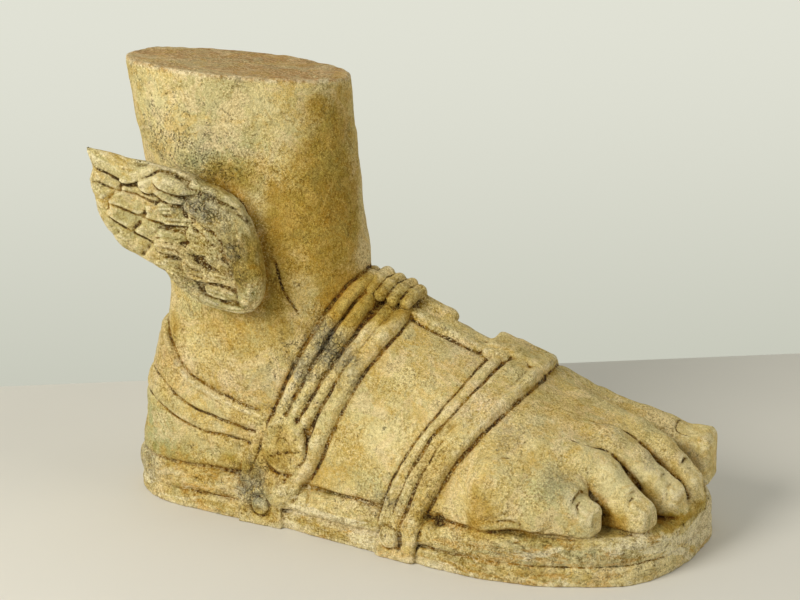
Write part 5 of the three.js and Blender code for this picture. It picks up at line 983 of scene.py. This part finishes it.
    # deeper contrast about the stone's middle tone
    vm = nd("ShaderNodeVectorMath", operation="MULTIPLY_ADD"); ln(col, vm.inputs[0]); vm.inputs[1].default_value = (1.30, 1.30, 1.30); vm.inputs[2].default_value = (-0.172, -0.137, -0.066)
    lim = nd("ShaderNodeVectorMath", operation="MAXIMUM"); ln(vm.outputs[0], lim.inputs[0]); lim.inputs[1].default_value = (0.050, 0.028, 0.006)
    top_ = nd("ShaderNodeVectorMath", operation="MINIMUM"); ln(lim.outputs[0], top_.inputs[0]); top_.inputs[1].default_value = (0.90, 0.82, 0.56); col = top_.outputs[0]
    # the ochre wash, in the toe crevices also painted shade, over all of it, so the grain still shows through
    col = mix(mul(oc, 0.86), col, (0.675, 0.565, 0.175), "MULTIPLY")
    ln(col, bs.inputs["Base Color"])
    rg = nd("ShaderNodeMapRange"); rg.inputs["To Min"].default_value = 0.80; rg.inputs["To Max"].default_value = 0.97; ln(small, rg.inputs["Value"]); ln(rg.outputs[0], bs.inputs["Roughness"])
    bs.inputs["Specular IOR Level"].default_value = 0.20
    # relief too fine for the mesh
    hgt = add(add(mul(small, 0.50), mul(fine, 0.50)), add(mul(grain, 0.20), add(mul(mid, 0.4), mul(pits_, -0.9))))
    hgt = add(hgt, mul(li, mul(fine, 0.6)))
    bp = nd("ShaderNodeBump", i_Strength=1.0, i_Distance=0.0036); ln(hgt, bp.inputs["Height"]); ln(bp.outputs[0], bs.inputs["Normal"])
    return m
me.materials.clear(); me.materials.append(stone_material())
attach(stone, "root"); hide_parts("winged_foot")

# ================================================================ floor, backdrop, light, camera
def plain_material(name, a, b, scale, bump=0.0):
    m = bpy.data.materials.new(name); m.use_nodes = True; nt = m.node_tree; bs = nt.nodes["Principled BSDF"]
    tc = nt.nodes.new("ShaderNodeTexCoord"); n = nt.nodes.new("ShaderNodeTexNoise"); n.inputs["Scale"].default_value = scale; n.inputs["Detail"].default_value = 5
    nt.links.new(tc.outputs["Object"], n.inputs["Vector"])
    mx = nt.nodes.new("ShaderNodeMix"); mx.data_type = "RGBA"; mx.inputs[6].default_value = (*a, 1); mx.inputs[7].default_value = (*b, 1)
    nt.links.new(n.outputs["Fac"], mx.inputs[0]); nt.links.new(mx.outputs[2], bs.inputs["Base Color"])
    bs.inputs["Roughness"].default_value = 0.85; bs.inputs["Specular IOR Level"].default_value = 0.15
    return m
def plane(name, corners, mat):
    m = bpy.data.meshes.new(name); m.from_pydata([Vector(c) for c in corners], [], [(0, 1, 2, 3)]); m.update()
    o = bpy.data.objects.new(name, m); bpy.context.scene.collection.objects.link(o); m.materials.append(mat); return o

CAM = (np.array([871.445, -1618.0, 730.650]) - ORIGIN) / 1000.0
RIGHT = np.array([0.93823516, 0.34599826, 0.0]); FWD = np.array([-0.33087978, 0.89723874, -0.2923717]); UP = np.array([-0.1011601, 0.27431341, 0.95630476])
def ground(u, v):
    d = (u - 400) * RIGHT + 2000.0 * FWD - (v - 300) * UP
    t = -CAM[2] / d[2]; return CAM + t * d
# the floor's far edge, then a plain backdrop well behind it
eL, eR = ground(-900, 424), ground(1700, 316)
dirn = (eR - eL) / np.linalg.norm(eR - eL); back = np.array([-dirn[1], dirn[0], 0.0])
nearL, nearR = eL - back * 6.0, eR - back * 6.0
plane("floor", [(*nearL[:2], 0), (*nearR[:2], 0), (*eR[:2], 0), (*eL[:2], 0)], plain_material("floor_pale", (0.662, 0.636, 0.566), (0.716, 0.690, 0.618), 3.0))
AWAY = 6.0                                # far enough back for the piece to be looked at from behind too
near_d = float((eL + back * 1.6 - CAM)[:2] @ back[:2]); far_k = float((eL + back * AWAY - CAM)[:2] @ back[:2]) / near_d
wl, wr = eL + back * AWAY - dirn * 5.0, eR + back * AWAY + dirn * 5.0
# painted light: the backdrop glows by emission instead of being lit by the lamps, and is darker towards the bottom
def backdrop_material():
    m = bpy.data.materials.new("backdrop_pale"); m.use_nodes = True; nt = m.node_tree; nt.nodes.clear(); ln = nt.links.new
    tc = nt.nodes.new("ShaderNodeTexCoord"); sp = nt.nodes.new("ShaderNodeSeparateXYZ"); ln(tc.outputs["Object"], sp.inputs[0])
    mr = nt.nodes.new("ShaderNodeMapRange"); mr.interpolation_type = "SMOOTHSTEP"; mr.inputs["From Min"].default_value = CAM[2] - (0.95 + CAM[2]) * far_k; mr.inputs["From Max"].default_value = CAM[2] + (0.25 - CAM[2]) * far_k; ln(sp.outputs["Z"], mr.inputs["Value"])
    mx = nt.nodes.new("ShaderNodeMix"); mx.data_type = "RGBA"; ln(mr.outputs[0], mx.inputs[0])
    mx.inputs[6].default_value = (0.520, 0.533, 0.450, 1); mx.inputs[7].default_value = (0.752, 0.757, 0.665, 1)
    em = nt.nodes.new("ShaderNodeEmission"); ln(mx.outputs[2], em.inputs[0]); em.inputs[1].default_value = 1.0
    out = nt.nodes.new("ShaderNodeOutputMaterial"); ln(em.outputs[0], out.inputs[0]); return m
plane("backdrop", [(*wl[:2], -9.0), (*wr[:2], -9.0), (*wr[:2], 11.0), (*wl[:2], 11.0)], backdrop_material())

cam_d = bpy.data.cameras.new("cam"); cam = bpy.data.objects.new("cam", cam_d); bpy.context.scene.collection.objects.link(cam)
cam_d.sensor_width = 36.0; cam_d.sensor_fit = "HORIZONTAL"; cam_d.lens = 90.0; cam_d.clip_start = 0.05; cam_d.clip_end = 50
R = Matrix((RIGHT, UP, -FWD)).transposed().to_4x4(); cam.matrix_world = Matrix.Translation(Vector(CAM)) @ R
bpy.context.scene.camera = cam

def area(name, loc, target, size, power, color):
    l = bpy.data.lights.new(name, "AREA"); l.shape = "DISK"; l.size = size; l.energy = power; l.color = color
    o = bpy.data.objects.new(name, l); bpy.context.scene.collection.objects.link(o)
    o.location = loc; o.rotation_euler = (Vector(target) - Vector(loc)).to_track_quat("-Z", "Y").to_euler(); return o
def place(r, u, b, dist):   # a place given from the camera's right, up and back
    v = np.array(RIGHT) * r + np.array([0, 0, 1]) * u - np.array([FWD[0], FWD[1], 0]) * b
    return tuple(v / np.linalg.norm(v) * dist + np.array([0, 0, 0.15]))
area("key", place(-0.85, 0.66, 0.80, 2.4), (0, 0, 0.15), 1.2, 51, (1.0, 0.975, 0.92))
area("fill", place(1.25, 0.66, 0.55, 2.8), (0, 0, 0.15), 1.8, 17, (1.0, 0.96, 0.88))
world = bpy.data.worlds.new("world"); bpy.context.scene.world = world; world.use_nodes = True
world.node_tree.nodes["Background"].inputs[0].default_value = (0.92, 0.94, 0.92, 1); world.node_tree.nodes["Background"].inputs[1].default_value = 0.38
vs = bpy.context.scene.view_settings; vs.view_transform = "Standard"; vs.look = "None"; vs.exposure = 0.0; vs.gamma = 1.0
